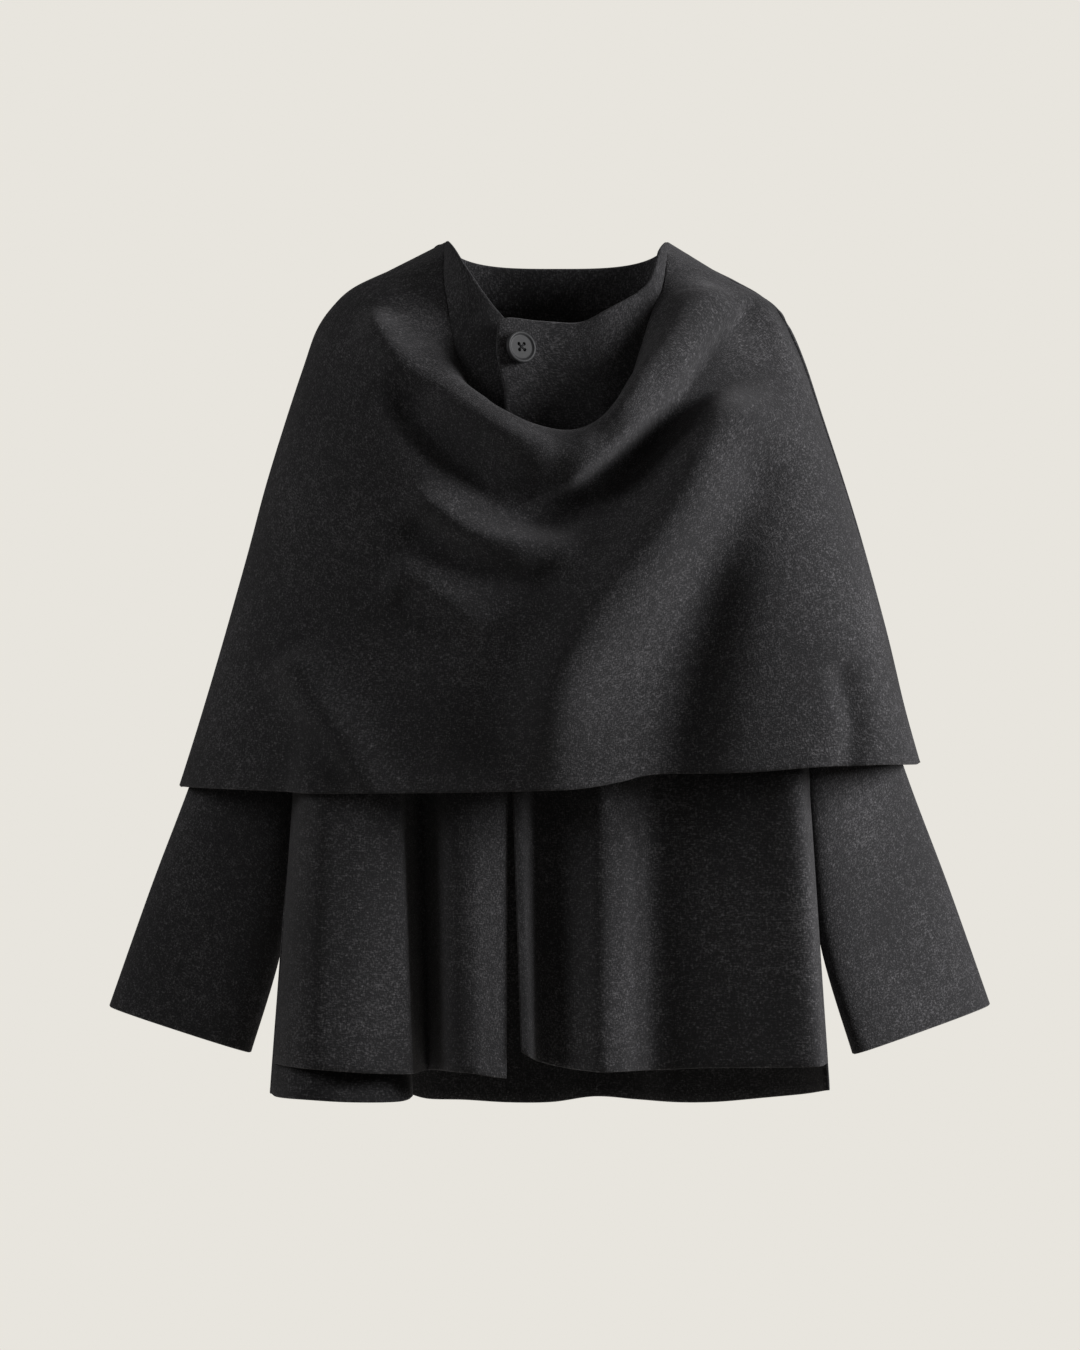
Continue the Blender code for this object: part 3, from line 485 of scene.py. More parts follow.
def body_panel(levels, hem_rows, spans, edge_angle, seam_angle, drape, neck=None):
    """Outer grid of a front or back: rings down to the cape's hem, then the draped hem.

    Between the underarm and the cape's hem each point moves by a smooth step from its ring
    to the plan section, and below that it runs straight to its place on the hem.
    """
    levels = np.asarray(levels, float)[:, None]
    spans = np.asarray(spans, float)[None, :]
    angle = edge_angle(levels) * (1 - spans) + seam_angle(levels) * spans
    rings = jacket_ring(levels + 0 * spans, angle)
    plan = smooth_through([row[1:] for row in drape], spans[0] * (len(drape) - 1))
    taken = ease((levels - UNDERARM) / (DRAPE - UNDERARM))
    rings[..., 0] += taken * (plan[:, 0] - rings[..., 0])
    rings[..., 1] += taken * (plan[:, 1] - rings[..., 1])
    if neck is not None:
        target = smooth_table(neck, rings[0, :, 0])
        fade = np.clip(1 - levels / NECK_LEVELS, 0, 1) ** NECK_FADE
        rings[..., 2] += fade * (target - rings[0, :, 2])
    share = np.asarray(hem_rows, float)[:, None]
    top_z = rings[-1, :, 2]
    hem = np.stack([
        plan[:, 0] + share * (plan[:, 2] - plan[:, 0]),
        plan[:, 1] + share * (plan[:, 3] - plan[:, 1]),
        top_z + share * (plan[:, 4] - top_z),
    ], axis=-1)
    return np.concatenate([rings, hem])


def lap_flare(grid, most):
    """Depth by which a front's edge curls forward and the cloth beside it sinks, per point.

    The table's smooth curve is read at each x, kept below most, and dies out between two
    levels of the rings.
    """
    levels = np.concatenate([LEVELS, np.full(len(HEM_ROWS), DRAPE)])[:, None]
    gone = ease((levels - FLARE_FULL) / (FLARE_GONE - FLARE_FULL))
    return np.minimum(smooth_table(LAP_FLARE, grid[..., 0]), most) * (1 - gone)


LEVELS = np.concatenate([np.linspace(0, 3, 28)[:-1], np.linspace(3, 5, 31)[:-1], np.linspace(5, 7, 22)])
BACK_LEVELS = LEVELS[LEVELS > 0.99]    # from the neck seam down
BAND_LEVELS = even(14) * 0.999    # from the neck's top to just above the seam
FRONT_COLUMNS, BACK_COLUMNS, BAND_COLUMNS = 130, 190, 110
HEM_ROWS = even(36)[1:]
LAP_RISE, LAP_END, LAP_FADE, LAP_LOWEST = 6.5, 78, 40, 1.2
UNDER_EDGE = (8.2, 9.3, 9.8, 8.3, 5.7, 3.1, 0.6, -2.0)    # degrees at each ring
OVER_EDGE = (-19.1, -19.2, -12.4, -9.5, -9.0, -8.8, -8.0, -7.0)


under_front = body_panel(LEVELS, HEM_ROWS, even(FRONT_COLUMNS), lambda level: armhole_cut(level) - 90,
                         lambda level: smooth_through(UNDER_EDGE, level), UNDER_FRONT_DRAPE, UNDER_NECK)
under_front[..., 1] -= lap_flare(under_front, 0)

over_front = body_panel(LEVELS, HEM_ROWS, even(FRONT_COLUMNS),
                        lambda level: smooth_through(OVER_EDGE, level),
                        lambda level: 90 - armhole_cut(level), OVER_FRONT_DRAPE, OVER_NECK)
lift = LAP_RISE * ease((LAP_END - over_front[:len(LEVELS), :, 0]) / LAP_FADE)    # off the other front
lift *= ease((DRAPE - LEVELS) / LAP_LOWEST)[:, None]
over_front[:len(LEVELS)] += grid_normals(over_front)[:len(LEVELS)] * lift[..., None]
over_front[..., 1] -= lap_flare(over_front, LAP_FLARE[0][1])

back = body_panel(BACK_LEVELS, HEM_ROWS, even(BACK_COLUMNS), lambda level: 90 + armhole_cut(level),
                  lambda level: 270 - armhole_cut(level), BACK_DRAPE[::-1])
band = body_panel(BAND_LEVELS, (), even(BAND_COLUMNS), lambda level: 90 + 0 * level,
                  lambda level: 270 + 0 * level, BACK_DRAPE[::-1])
print("grids:", under_front.shape, over_front.shape, back.shape, band.shape)

# %% Sew the panels' edges together and give them their walls
def follow_seam(grid, column_index, front_edge):
    """Lay the back's side edge below the cape's hem on the straight line of the front's."""
    top, hem = front_edge[-len(HEM_ROWS) - 1], front_edge[-1]
    share = (grid[-len(HEM_ROWS):, column_index, 2] - top[2]) / (hem[2] - top[2])
    grid[-len(HEM_ROWS):, column_index, :2] = top[:2] + share[:, None] * (hem - top)[:2]


follow_seam(back, 0, over_front[:, -1])
follow_seam(back, -1, under_front[:, 0])
jacket = [add_cloth("jacket_front_right", under_front), add_cloth("jacket_front_left", over_front),
          add_cloth("jacket_back", back), add_cloth("neck_band", band)]

# %% [markdown]
# ## The sleeves
#
# Each sleeve is one tube sewn into the armhole.  Its first ring is the armhole's own edge, so
# that the seam fits wherever the armhole goes.  The rings after it are tilted, slightly
# squared ellipses, given by where the sleeve's outer and inner lines run when seen from the
# front.  A few shallow folds run down the tube, as in a wide sleeve that hangs with no arm.

# %% Sleeves
SLEEVE_RINGS = columns_of("outer_x outer_z inner_x inner_z centre_y half_depth twist", (
    ("cap", 203, -65, 190, -236, 8, 50, 0),
    ("upper arm", 224, -136, 196, -270, 12, 46, 3),
    ("above the elbow", 244, -207, 202, -314, 17, 43, 7),
    ("elbow", 269, -291, 209, -377, 24, 39, 11),
    ("cape hem", 304, -397, 217, -450, 31, 37, 14),
    ("forearm", 341, -495, 228, -543, 34, 35, 15),
    ("cuff", 377, -597, 255, -635, 34, 33, 15),
))
SLEEVE_ROUNDNESS = 0.8
SLEEVE_AROUND = 120
SLEEVE_ROWS = np.concatenate([even(12)[:-1], np.linspace(1, 7, 100)])    # 0 is the armhole's edge
SLEEVE_FOLDS = ((3.9, 1.6, 0.35), (5.0, -1.2, 0.3), (2.6, 1.0, 0.3))    # angle round, height, half width
FOLD_SWAY, FOLD_WAVE = 0.25, 0.8
FOLD_START, FOLD_GROWTH = 1.5, 2
RIGHT_TURN, LEFT_TURN = 1.0, 3.2


def armhole_loop(front, front_column, rear, rear_column):
    """Closed edge of an armhole, down the front and up the back, at even spacing."""
    in_front = (LEVELS >= SHOULDER) & (LEVELS <= UNDERARM)
    behind = (BACK_LEVELS > SHOULDER) & (BACK_LEVELS < UNDERARM)
    down = front[:len(LEVELS)][in_front, front_column]
    up = rear[:len(BACK_LEVELS)][behind, rear_column][::-1]
    loop = np.concatenate([down, up, down[:1]])
    return smooth_through(loop, np.linspace(0, len(loop) - 1, SLEEVE_AROUND + 1))[:-1]


def sleeve(side, loop, turn):
    """Tube from the armhole to the cuff; side is +1 for the wearer's left.

    Round each ring the reach from inner to outer line goes by cosine and the depth by sine,
    both raised to the sleeve's roundness, and the twist turns the front of it outwards, by
    turn times the table's value.
    """
    size = {name: values[:, None] for name, values in SLEEVE_RINGS.items()}
    around = np.linspace(0, 2 * np.pi, SLEEVE_AROUND, endpoint=False)
    reach = np.sign(np.cos(around)) * np.abs(np.cos(around)) ** SLEEVE_ROUNDNESS
    depth = -np.sign(np.sin(around)) * np.abs(np.sin(around)) ** SLEEVE_ROUNDNESS
    rings = np.stack([
        side * (size["outer_x"] + size["inner_x"] + (size["outer_x"] - size["inner_x"]) * reach) / 2,
        size["centre_y"] + size["half_depth"] * depth + turn * size["twist"] * reach,
        (size["outer_z"] + size["inner_z"] + (size["outer_z"] - size["inner_z"]) * reach) / 2,
    ], axis=-1)
    tube = smooth_through(np.concatenate([loop[None], rings]), SLEEVE_ROWS)
    if side > 0:
        tube = tube[:, ::-1]
        around = around[::-1]
    wander = around[None, :] + FOLD_SWAY * np.sin(SLEEVE_ROWS[:, None] * FOLD_WAVE + side)
    height = sum(rise * np.exp(-(((wander - angle + np.pi) % (2 * np.pi) - np.pi) / wide) ** 2)
                 for angle, rise, wide in SLEEVE_FOLDS)
    height = height * ease((SLEEVE_ROWS - FOLD_START) / FOLD_GROWTH)[:, None]
    return tube + grid_normals(tube, closed=True) * height[..., None]


sleeve_right = sleeve(-1, armhole_loop(under_front, 0, back, -1), RIGHT_TURN)
sleeve_left = sleeve(1, armhole_loop(over_front, -1, back, 0), LEFT_TURN)
sleeves = [add_cloth("sleeve_right", sleeve_right, closed=True),
           add_cloth("sleeve_left", sleeve_left, closed=True)]

# %% [markdown]
# ## The cape's form
#
# The cape hangs from the shoulders like a shallow bell.  Its outline from the front is known
# from two side lines, and its depth is a plan section at each height: a superellipse whose
# half width is the outline's, so that depth falls away smoothly to the sides.

# %% Cape outline and plan sections
CAPE_SIDES = columns_of("z right_x left_x y", (
    (48.5, -95, 105, 0),
    (41, -113, 111, 0),
    (31, -139, 134, 0),
    (18, -167, 162, 1),
    (3, -184, 185, 2),
    (-17, -198, 198, 3),
    (-47, -209, 211, 5),
    (-91, -224, 226, 9),
    (-148, -242, 245, 14),
    (-206, -258, 263, 20),
    (-285, -281, 285, 28),
    (-350, -301, 301, 35),
    (-399, -317, 315, 41),
))
CAPE_DEPTHS = columns_of("z front back right_power left_power back_power", (
    (48.5, 30, 40, 2.0, 2.0, 2.0),
    (20, 54, 62, 2.0, 2.0, 2.1),
    (0, 72, 78, 2.0, 2.0, 2.2),
    (-30, 92, 90, 2.0, 2.1, 2.3),
    (-60, 111, 99, 2.0, 2.3, 2.4),
    (-110, 133, 110, 2.05, 2.6, 2.5),
    (-160, 140, 116, 2.1, 3.0, 2.6),
    (-220, 142, 118, 2.1, 3.5, 2.7),
    (-300, 143, 115, 2.15, 4.2, 2.8),
    (-410, 143, 110, 2.2, 4.6, 3.0),
))
DEPTH_BLUR, BLUR_READINGS = 26, 9
COWL_RIM = (
    (-139, 27), (-133, 0), (-122, -28), (-104, -50), (-82, -69), (-54, -89), (-18, -108), (19, -115),
    (45, -107), (62, -92), (79, -67), (104, -42), (117, -20), (129, 0), (155, 18),
)
CAPE_FRONT_HEM = (
    (-317, -409), (-241, -411), (-184, -413), (-88, -412), (0, -410), (29, -408), (58, -403),
    (87, -397), (163, -395), (217, -391), (261, -389), (315, -389),
)
CAPE_BACK_HEM = ((-317, -409), (-200, -404), (-90, -409), (0, -405), (110, -402), (220, -396), (315, -389))


def table_at(table, name, z, blur=0):
    """A column of a table read at height z, its rows running from high to low.

    With a blur it is the mean of readings up to so far above and below, which rounds off the
    corners between one row and the next.
    """
    steps = blur * np.linspace(-1, 1, BLUR_READINGS)
    return sum(np.interp(-z + step, -table["z"], table[name]) for step in steps) / BLUR_READINGS


def section_depth(x, z, behind):
    """Depth of the plan section: one minus the share of the half width to a power, rooted."""
    half = np.where(x < 0, -table_at(CAPE_SIDES, "right_x", z), table_at(CAPE_SIDES, "left_x", z))
    side_y = table_at(CAPE_SIDES, "y", z)
    deep, right_power, left_power, back_power = (
        table_at(CAPE_DEPTHS, name, z, DEPTH_BLUR)
        for name in ("back" if behind else "front", "right_power", "left_power", "back_power"))
    power = back_power if behind else np.where(x < 0, right_power, left_power)
    share = np.clip(1 - np.abs(x / half) ** power, 0, 1) ** (1 / power)
    return side_y + ((deep - side_y) if behind else -(deep + side_y)) * share


print("cape depth at its hem:", CAPE_DEPTHS["front"][-1] + CAPE_DEPTHS["back"][-1], "mm")

# %% [markdown]
# ## The folds of the cowl
#
# Spare cloth at a neckline falls in swags: each is a ridge that hangs from one shoulder or
# both, steep below and rounded above, with a trough under it.  A fold is drawn here as a line
# seen from the front, and the cloth near it is lifted or sunk by a bell curve that is wider on
# one side of the line than on the other.  Each row of the tables gives a fold's name, its
# line, its height, its widths above and below the line, and how much of it is left at its end.

# %% Folds
CAPE_FRONT_FOLDS = (
    ("rim turn", ((-139, 12), (-122, -28), (-104, -50), (-82, -69), (-54, -89), (-18, -108), (19, -115)),
     -13, 9, 14, 0.25),
    ("cowl lip", ((-150, 2), (-125, -40), (-87, -74), (-51, -99), (-18, -117), (19, -124)), 20, 17, 26, 0.25),
    ("roll crest", ((150, 16), (129, 0), (104, -42), (79, -67), (62, -92), (30, -112)), 16, 12, 18, 0.25),
    ("roll edge", ((192, 22), (178, 4), (160, -18), (140, -40), (118, -68), (95, -94), (72, -118),
                   (47, -141), (23, -159), (4, -168), (-14, -174), (-36, -178)), -35, 6, 46, 0),
    ("roll groove", ((192, 22), (178, 4), (160, -18), (140, -40), (118, -68), (95, -94), (72, -118),
                     (47, -141), (23, -159)), -12, 6, 18, 0),
    ("left trough", ((-140, -60), (-104, -108), (-75, -140), (-47, -164), (-20, -179), (12, -182),
                     (40, -176)), -26, 34, 17, 0),
    ("second ridge", ((-124, -156), (-92, -178), (-66, -196), (-38, -205), (-11, -205), (17, -203),
                      (44, -196)), 11, 11, 22, 0),
    ("second trough", ((-129, -180), (-97, -204), (-66, -225), (-28, -236), (20, -230)), -9, 16, 16, 0),
    ("third ridge", ((-134, -218), (-107, -240), (-75, -264), (-47, -282)), 9, 15, 22, 0),
    ("third trough", ((-129, -242), (-92, -270), (-56, -297)), -5, 16, 18, 0),
    ("shoulder fold", ((163, -46), (146, -84), (132, -118), (110, -168), (76, -218), (30, -277),
                       (2, -344), (4, -407)), 30, 30, 40, 0.4),
    ("shoulder trough", ((194, -109), (160, -168), (137, -218), (124, -277), (109, -344), (98, -407)),
     -18, 36, 32, 0.9),
    ("arm fold", ((-214, -290), (-198, -330), (-168, -372), (-150, -404)), 17, 24, 22, 0.8),
    ("left arm trough", ((239, -300), (251, -344), (251, -378), (236, -402)), -7, 12, 12, 0.5),
)
CAPE_BACK_FOLDS = (
    ("right blade fold", ((-150, -60), (-138, -220), (-128, -405)), 11, 26, 26, 0.6),
    ("middle fold", ((-28, -110), (-22, -250), (-16, -405)), 8, 24, 24, 0.6),
    ("left blade fold", ((132, -60), (120, -220), (104, -402)), 12, 28, 24, 0.6),
    ("left arm fold", ((214, -160), (214, -280), (210, -395)), 6, 22, 22, 0.6),
    ("right arm fold", ((-214, -160), (-220, -280), (-224, -404)), 5, 22, 22, 0.6),
)
FOLD_SAMPLES = 160
FOLD_RISE, FOLD_FALL = 0.16, 0.2    # shares of its line over which a fold grows and dies


def fold_height(x, z, folds):
    """Height outwards of all folds at each point.

    It is the fold's own height times a bell of the distance from its line over its width.
    The width turns from the one above to the one below as the point goes round the line's
    end.  A fold grows from nothing at its start and keeps a share of its height at its end.
    """
    height = np.zeros_like(x)
    for _, line, rise, above, below, end in folds:
        points = along(np.array(line, float), even(FOLD_SAMPLES))
        gap = np.stack([x, z], axis=-1)[..., None, :] - points
        nearest = (gap ** 2).sum(-1).argmin(-1)
        gap = np.take_along_axis(gap, nearest[..., None, None], axis=-2)[..., 0, :]
        heading = unit(np.gradient(points, axis=0))[nearest]
        heading = heading * np.where(line[-1][0] > line[0][0], 1, -1)
        upward = np.stack([-heading[..., 1], heading[..., 0]], axis=-1)
        width = below + (above - below) * ease(0.5 + 0.5 * (unit(gap) * upward).sum(-1))
        share = nearest / (len(points) - 1)
        fade = ease(share / FOLD_RISE) * (1 - (1 - end) * ease((share - 1 + FOLD_FALL) / FOLD_FALL))
        height += rise * fade * np.exp(-(gap ** 2).sum(-1) / width ** 2)
    return height


print("folds on the cape:", len(CAPE_FRONT_FOLDS), "in front,", len(CAPE_BACK_FOLDS), "behind")

# %% [markdown]
# ## What the cape rests on
#
# The cape may not sink into the jacket.  The points of the jacket and the sleeves are
# scattered into a map of small cells seen from the front, each keeping its foremost point.
# The map is widened and blurred, and the cape then stays a little in front of it.

# %% Map of the layers below
CELL = 3.0
MAP_LOW, MAP_CELLS = np.array([-400.0, -700.0]), (268, 260)
FAR_INSIDE, WIDEN, BLUR = -200.0, 4, 4
CAPE_REST = 3.0


def outermost_map(grids, outward):
    """Map of the outermost depth of some grids; outward is -1 for the front, 1 for the back.

    A cell keeps the largest value of outward times y, then takes the largest of its
    neighbours a few times, and then their mean as often.
    """
    points = np.concatenate([grid.reshape(-1, 3) for grid in grids])
    cell = ((points[:, [0, 2]] - MAP_LOW) / CELL).astype(int)
    depth = np.full(MAP_CELLS, FAR_INSIDE)
    np.maximum.at(depth, (cell[:, 0], cell[:, 1]), outward * points[:, 1])
    for gather in [np.maximum.reduce] * WIDEN + [lambda near: np.mean(near, axis=0)] * BLUR:
        padded = np.pad(depth, 1, mode="edge")
        near = [padded[1 + i:1 + i + MAP_CELLS[0], 1 + j:1 + j + MAP_CELLS[1]]
                for i, j in ((0, 0), (1, 0), (-1, 0), (0, 1), (0, -1))]
        depth = gather(near)
    return depth


def read_map(depth, x, z):
    """The map read at points between its cells, in proportion to the nearness of four cells."""
    at = np.stack([(x - MAP_LOW[0]) / CELL, (z - MAP_LOW[1]) / CELL], axis=-1) - 0.5
    low = np.clip(at.astype(int), 0, np.array(MAP_CELLS) - 2)
    share = at - low
    i, j = low[..., 0], low[..., 1]
    u, v = share[..., 0], share[..., 1]
    return ((1 - u) * (1 - v) * depth[i, j] + u * (1 - v) * depth[i + 1, j]
            + (1 - u) * v * depth[i, j + 1] + u * v * depth[i + 1, j + 1])


FRONT_MAP = outermost_map([under_front, over_front, sleeve_right, sleeve_left], -1)
BACK_MAP = outermost_map([back, sleeve_right, sleeve_left], 1)
print("foremost point below the cape:", FRONT_MAP.max().round(1), "mm in front")

# %% Cape panels
CAPE_FRONT_NECK = (
    (-89.5, 52), (-90.5, 22), (-87.5, 0), (-82, -34), (-72, -66), (-52, -100), (-20, -122), (10, -126),
    (40, -112), (62, -78), (74, -44), (84, -12), (94, 12), (99.5, 52),
)
CAPE_BACK_NECK = ((-89.5, 52), (-86, 21), (-62, -2), (0, -14), (62, -4), (92, 19), (99.5, 52))
SEAM_REACH, SEAM_PROUD = 5.0, 0.4
SETTLE, SETTLE_ROWS = 14, 16    # most that the cape's back drops on to the jacket at its neck, and rows
CAPE_COLUMNS, CAPE_BACK_COLUMNS = 240, 180
CROWDING = 0.35    # how much closer the columns stand at the sides than in the middle
SIDE_CALM, SIDE_INSET, INSET_COLUMNS = 0.05, 1.2, 3
SOFT_CONTACT = 9.0


def cape_side(name, share):
    """Shoulder and arm line of the cape on one side, at shares of its length."""
    return along(np.stack([CAPE_SIDES[key] for key in (name, "y", "z")], axis=-1), share)


def cape_panel(columns, rows, top_line, hem_line, top_share, folds, behind):
    """Part of the cape between a top line and the hem.

    Seen from the front it is the blend of its four edges: top and hem mixed down, plus the
    sides mixed across, less the corners counted twice.  Its depth is the plan section, the
    folds stand off that along the cloth's own normal, and where it would sink into the layers
    below it gives way outwards by half of the lack plus its hypotenuse with the soft contact.
    """
    spaced = even(columns)[None, :]
    across = spaced - CROWDING * np.sin(2 * np.pi * spaced) / (2 * np.pi)
    down = np.asarray(rows, float)[:, None]
    top = along(np.array(top_line, float), across[0])
    hem = along(np.array(hem_line, float), across[0])
    right_side = cape_side("right_x", top_share[0] + (1 - top_share[0]) * down[:, 0])[:, [0, 2]]
    left_side = cape_side("left_x", top_share[1] + (1 - top_share[1]) * down[:, 0])[:, [0, 2]]
    right_side = right_side + down * (hem[0] - right_side[-1]) + (1 - down) * (top[0] - right_side[0])
    left_side = left_side + down * (hem[-1] - left_side[-1]) + (1 - down) * (top[-1] - left_side[0])
    u, v = across[..., None], down[..., None]
    flat = ((1 - v) * top + v * hem + (1 - u) * right_side[:, None] + u * left_side[:, None]
            - (1 - v) * ((1 - u) * top[0] + u * top[-1]) - v * ((1 - u) * hem[0] + u * hem[-1]))
    x, z = flat[..., 0], flat[..., 1]
    outward = 1 if behind else -1
    depth = section_depth(x, z, behind)
    depth[:, [0, -1]] = table_at(CAPE_SIDES, "y", z[:, [0, -1]])
    base = np.stack([x, depth, z], axis=-1)
    normals = grid_normals(base[:, ::-1])[:, ::-1] if behind else grid_normals(base)
    inner = ease(np.minimum(across, 1 - across) / SIDE_CALM)
    cloth = base + normals * (fold_height(x, z, folds) * inner)[..., None]
    below = read_map(BACK_MAP if behind else FRONT_MAP, cloth[..., 0], cloth[..., 2])
    lack = below + CLOTH + CAPE_REST - outward * cloth[..., 1]
    cloth[..., 1] += outward * 0.5 * (lack + np.hypot(lack, SOFT_CONTACT)) * inner
    return cloth


RIM_SHARE = (0.088, 0.10)
CAPE_ROWS = np.concatenate([np.linspace(0, 0.5, 96)[:-1], np.linspace(0.5, 1, 64)])
apron = cape_panel(CAPE_COLUMNS, CAPE_ROWS, COWL_RIM, CAPE_FRONT_HEM, RIM_SHARE, CAPE_FRONT_FOLDS, False)
print("cape front below the cowl's rim:", apron.shape)

# %% [markdown]
# ## Rolling the cowl inwards
#
# Above its rim the cape turns over and runs back to the jacket's neck, where it is sewn.
# Each column of that roll is a curve with one control point: it leaves the neck edge towards
# the control point and arrives at the rim from it, which gives a soft, full edge.  The neck
# edge itself lies on the jacket, as a sewn edge does.

# %% The roll
ROLL_ROWS, ROLL_RISE, ROLL_OUT = 26, 0.35, 0.3
FULL_OVERHANG, FULL_DROP = 30, 12
SEAM_SMOOTHING, NEARBY, NEARBY_SOFTNESS, NO_CLOTH = 5, 4, 0.05, 200


def surface_y(grid, line):
    """Depth of a grid at points seen from the front, or far behind where the grid isn't near.

    It is the mean of the four nearest grid points, each counted by one over its distance
    squared.
    """
    points = grid.reshape(-1, 3)
    away = np.linalg.norm(points[None, :, [0, 2]] - line[:, None], axis=-1)
    nearest = np.argpartition(away, NEARBY, axis=1)[:, :NEARBY]
    gap = np.take_along_axis(away, nearest, axis=1)
    weight = 1 / (gap + NEARBY_SOFTNESS) ** 2
    depth = (points[nearest, 1] * weight).sum(axis=1) / weight.sum(axis=1)
    return np.where(gap.min(axis=1) < SEAM_REACH, depth, NO_CLOTH)


neck_line = along(np.array(CAPE_FRONT_NECK, float), even(CAPE_COLUMNS))
neck_y = np.minimum(surface_y(under_front, neck_line), surface_y(over_front, neck_line)) - SEAM_PROUD
neck_y = np.convolve(np.pad(neck_y, SEAM_SMOOTHING // 2, mode="edge"),
                     np.full(SEAM_SMOOTHING, 1 / SEAM_SMOOTHING), mode="valid")
neck_edge = np.stack([neck_line[:, 0], neck_y, neck_line[:, 1]], axis=-1)
neck_edge[[0, -1], 1] = 0
rim = apron[0]
overhang = np.clip(neck_edge[:, 1] - rim[:, 1], 0, FULL_OVERHANG)
overhang = overhang * ease((rim[:, 2] - neck_edge[:, 2]) / FULL_DROP)
bend = 0.5 * (rim + neck_edge)
bend[:, 1] += ROLL_OUT * (rim - neck_edge)[:, 1] * (overhang / FULL_OVERHANG)
bend[:, 2] = np.maximum(bend[:, 2], rim[:, 2]) + ROLL_RISE * overhang
bend[[0, -1]] = 0.5 * (rim + neck_edge)[[0, -1]]
share = even(ROLL_ROWS + 1)[:-1, None, None]
roll = (1 - share) ** 2 * neck_edge + 2 * share * (1 - share) * bend + share ** 2 * rim
print("roll:", roll.shape, "reaching", overhang.max().round(1), "mm inwards")

# %% The whole cape
FRONT_CALM, BACK_CALM = 3, 6    # times that a grid is relaxed
RIM_CALM, RIM_CALM_ROWS, RIM_CALM_WEIGHT = 24, 6, 0.5

cape_front = relaxed(np.concatenate([roll, apron]), FRONT_CALM)
from_rim = np.arange(1, len(cape_front) - 1) - len(roll)
softness = RIM_CALM_WEIGHT * np.exp(-(from_rim / RIM_CALM_ROWS) ** 2)[:, None, None]
for _ in range(RIM_CALM):
    step = softness * ((cape_front[:-2] + cape_front[2:]) / 2 - cape_front[1:-1])
    cape_front[1:-1, 1:-1] += step[:, 1:-1]

side_steps = np.linalg.norm(np.diff(cape_front[:, [0, -1]], axis=0), axis=-1).sum(axis=1)
side_share = np.concatenate([[0], np.cumsum(side_steps)]) / side_steps.sum()
cape_back = cape_panel(CAPE_BACK_COLUMNS, side_share, CAPE_BACK_NECK, CAPE_BACK_HEM, (0, 0),
                       CAPE_BACK_FOLDS, True)[:, ::-1]
jacket_behind = np.concatenate([band.reshape(-1, 3), back.reshape(-1, 3)])
off_neck = cape_back[0, :, 1] - surface_y(jacket_behind, cape_back[0][:, [0, 2]]) - SEAM_PROUD
settling = 1 - ease(np.arange(SETTLE_ROWS) / SETTLE_ROWS)[:, None]
cape_back[:SETTLE_ROWS, :, 1] -= np.clip(off_neck, 0, SETTLE) * settling
cape_back[:, 0], cape_back[:, -1] = cape_front[:, -1], cape_front[:, 0]
cape_back = relaxed(cape_back, BACK_CALM)
inset = SIDE_INSET * np.minimum(1, np.arange(CAPE_BACK_COLUMNS) / INSET_COLUMNS)
cape_back[..., 0] = np.clip(cape_back[..., 0], cape_back[:, -1:, 0] + inset[::-1],
                            cape_back[:, :1, 0] - inset)
cape = [add_cloth("cape_front", cape_front), add_cloth("cape_back", cape_back)]

# %% [markdown]
# ## The button
#
# A coat button is turned on a lathe from a disc of horn or resin: a profile spun round an
# axis.  The face is a shallow dish inside a raised rim, with four holes sunk in it, and the
# lathe leaves fine rings that drag a glint out along the radius.  It is sewn on by two
# crossed pairs of threads wound into a short shank, on which it leans a little to one side.

# %% Closed surfaces of turned and drawn shapes
def capped(grid, first=0):
    """Points and faces of rings joined down and around, with a fan of triangles at each end.

    The rings run anticlockwise when seen from the first one.
    """
    rows, columns = grid.shape[:2]
    points = np.concatenate([grid.reshape(-1, 3), [grid[0].mean(axis=0), grid[-1].mean(axis=0)]])
    ring = np.arange(columns)
    after, last, pole = np.roll(ring, -1), ring + (rows - 1) * columns, rows * columns
    top = np.stack([np.full(columns, pole), ring, after], axis=-1) + first
    bottom = np.stack([np.full(columns, pole + 1), np.roll(last, -1), last], axis=-1) + first
    return points, lattice_faces(rows, columns, True, first).tolist() + top.tolist() + bottom.tolist()


def add_solid(name, grids, made_of):
    """One mesh of several capped grids in millimetres."""
    points, faces = [], []
    for grid in grids:
        more, joined = capped(grid, sum(map(len, points)))
        points.append(more)
        faces += joined
    mesh = bpy.data.meshes.new(name)
    mesh.from_pydata((np.concatenate(points) * MM).tolist(), [], faces)
    return add_piece(name, mesh, made_of)


print("a capped grid of 3 rings of 8 has", len(capped(np.zeros((3, 8, 3)))[1]), "faces")

# %% Button shape
BUTTON_PLACE = (-27, -42)
BUTTON_TURN, BUTTON_LIFT = 16, 4.0    # degrees to the wearer's left, mm off the cloth at its middle
BUTTON_GRIP = 11    # mm round its place in which the cloth's own normal is taken
BUTTON_PROFILE = (    # radius, height
    (0.2, 3.1), (6.5, 3.1), (9.6, 3.1), (10.3, 3.2), (10.9, 3.55), (11.5, 3.9), (12.2, 4.0), (12.9, 3.9),
    (13.5, 3.5), (13.9, 2.8), (14.0, 2.0), (13.7, 1.0), (13.0, 0.3), (12.0, 0.0), (6.0, 0.0), (0.2, 0.0),
)
BUTTON_RINGS, BUTTON_SIDES = 150, 120
FACE_HEIGHT, FACE_LOWEST = 3.1, 2.5
HOLE_RADIUS, HOLE_EDGE, HOLE_SLOPE, HOLE_DEPTH, HOLE_OFFSET = 1.25, 1.15, 0.3, 2.4, 2.5

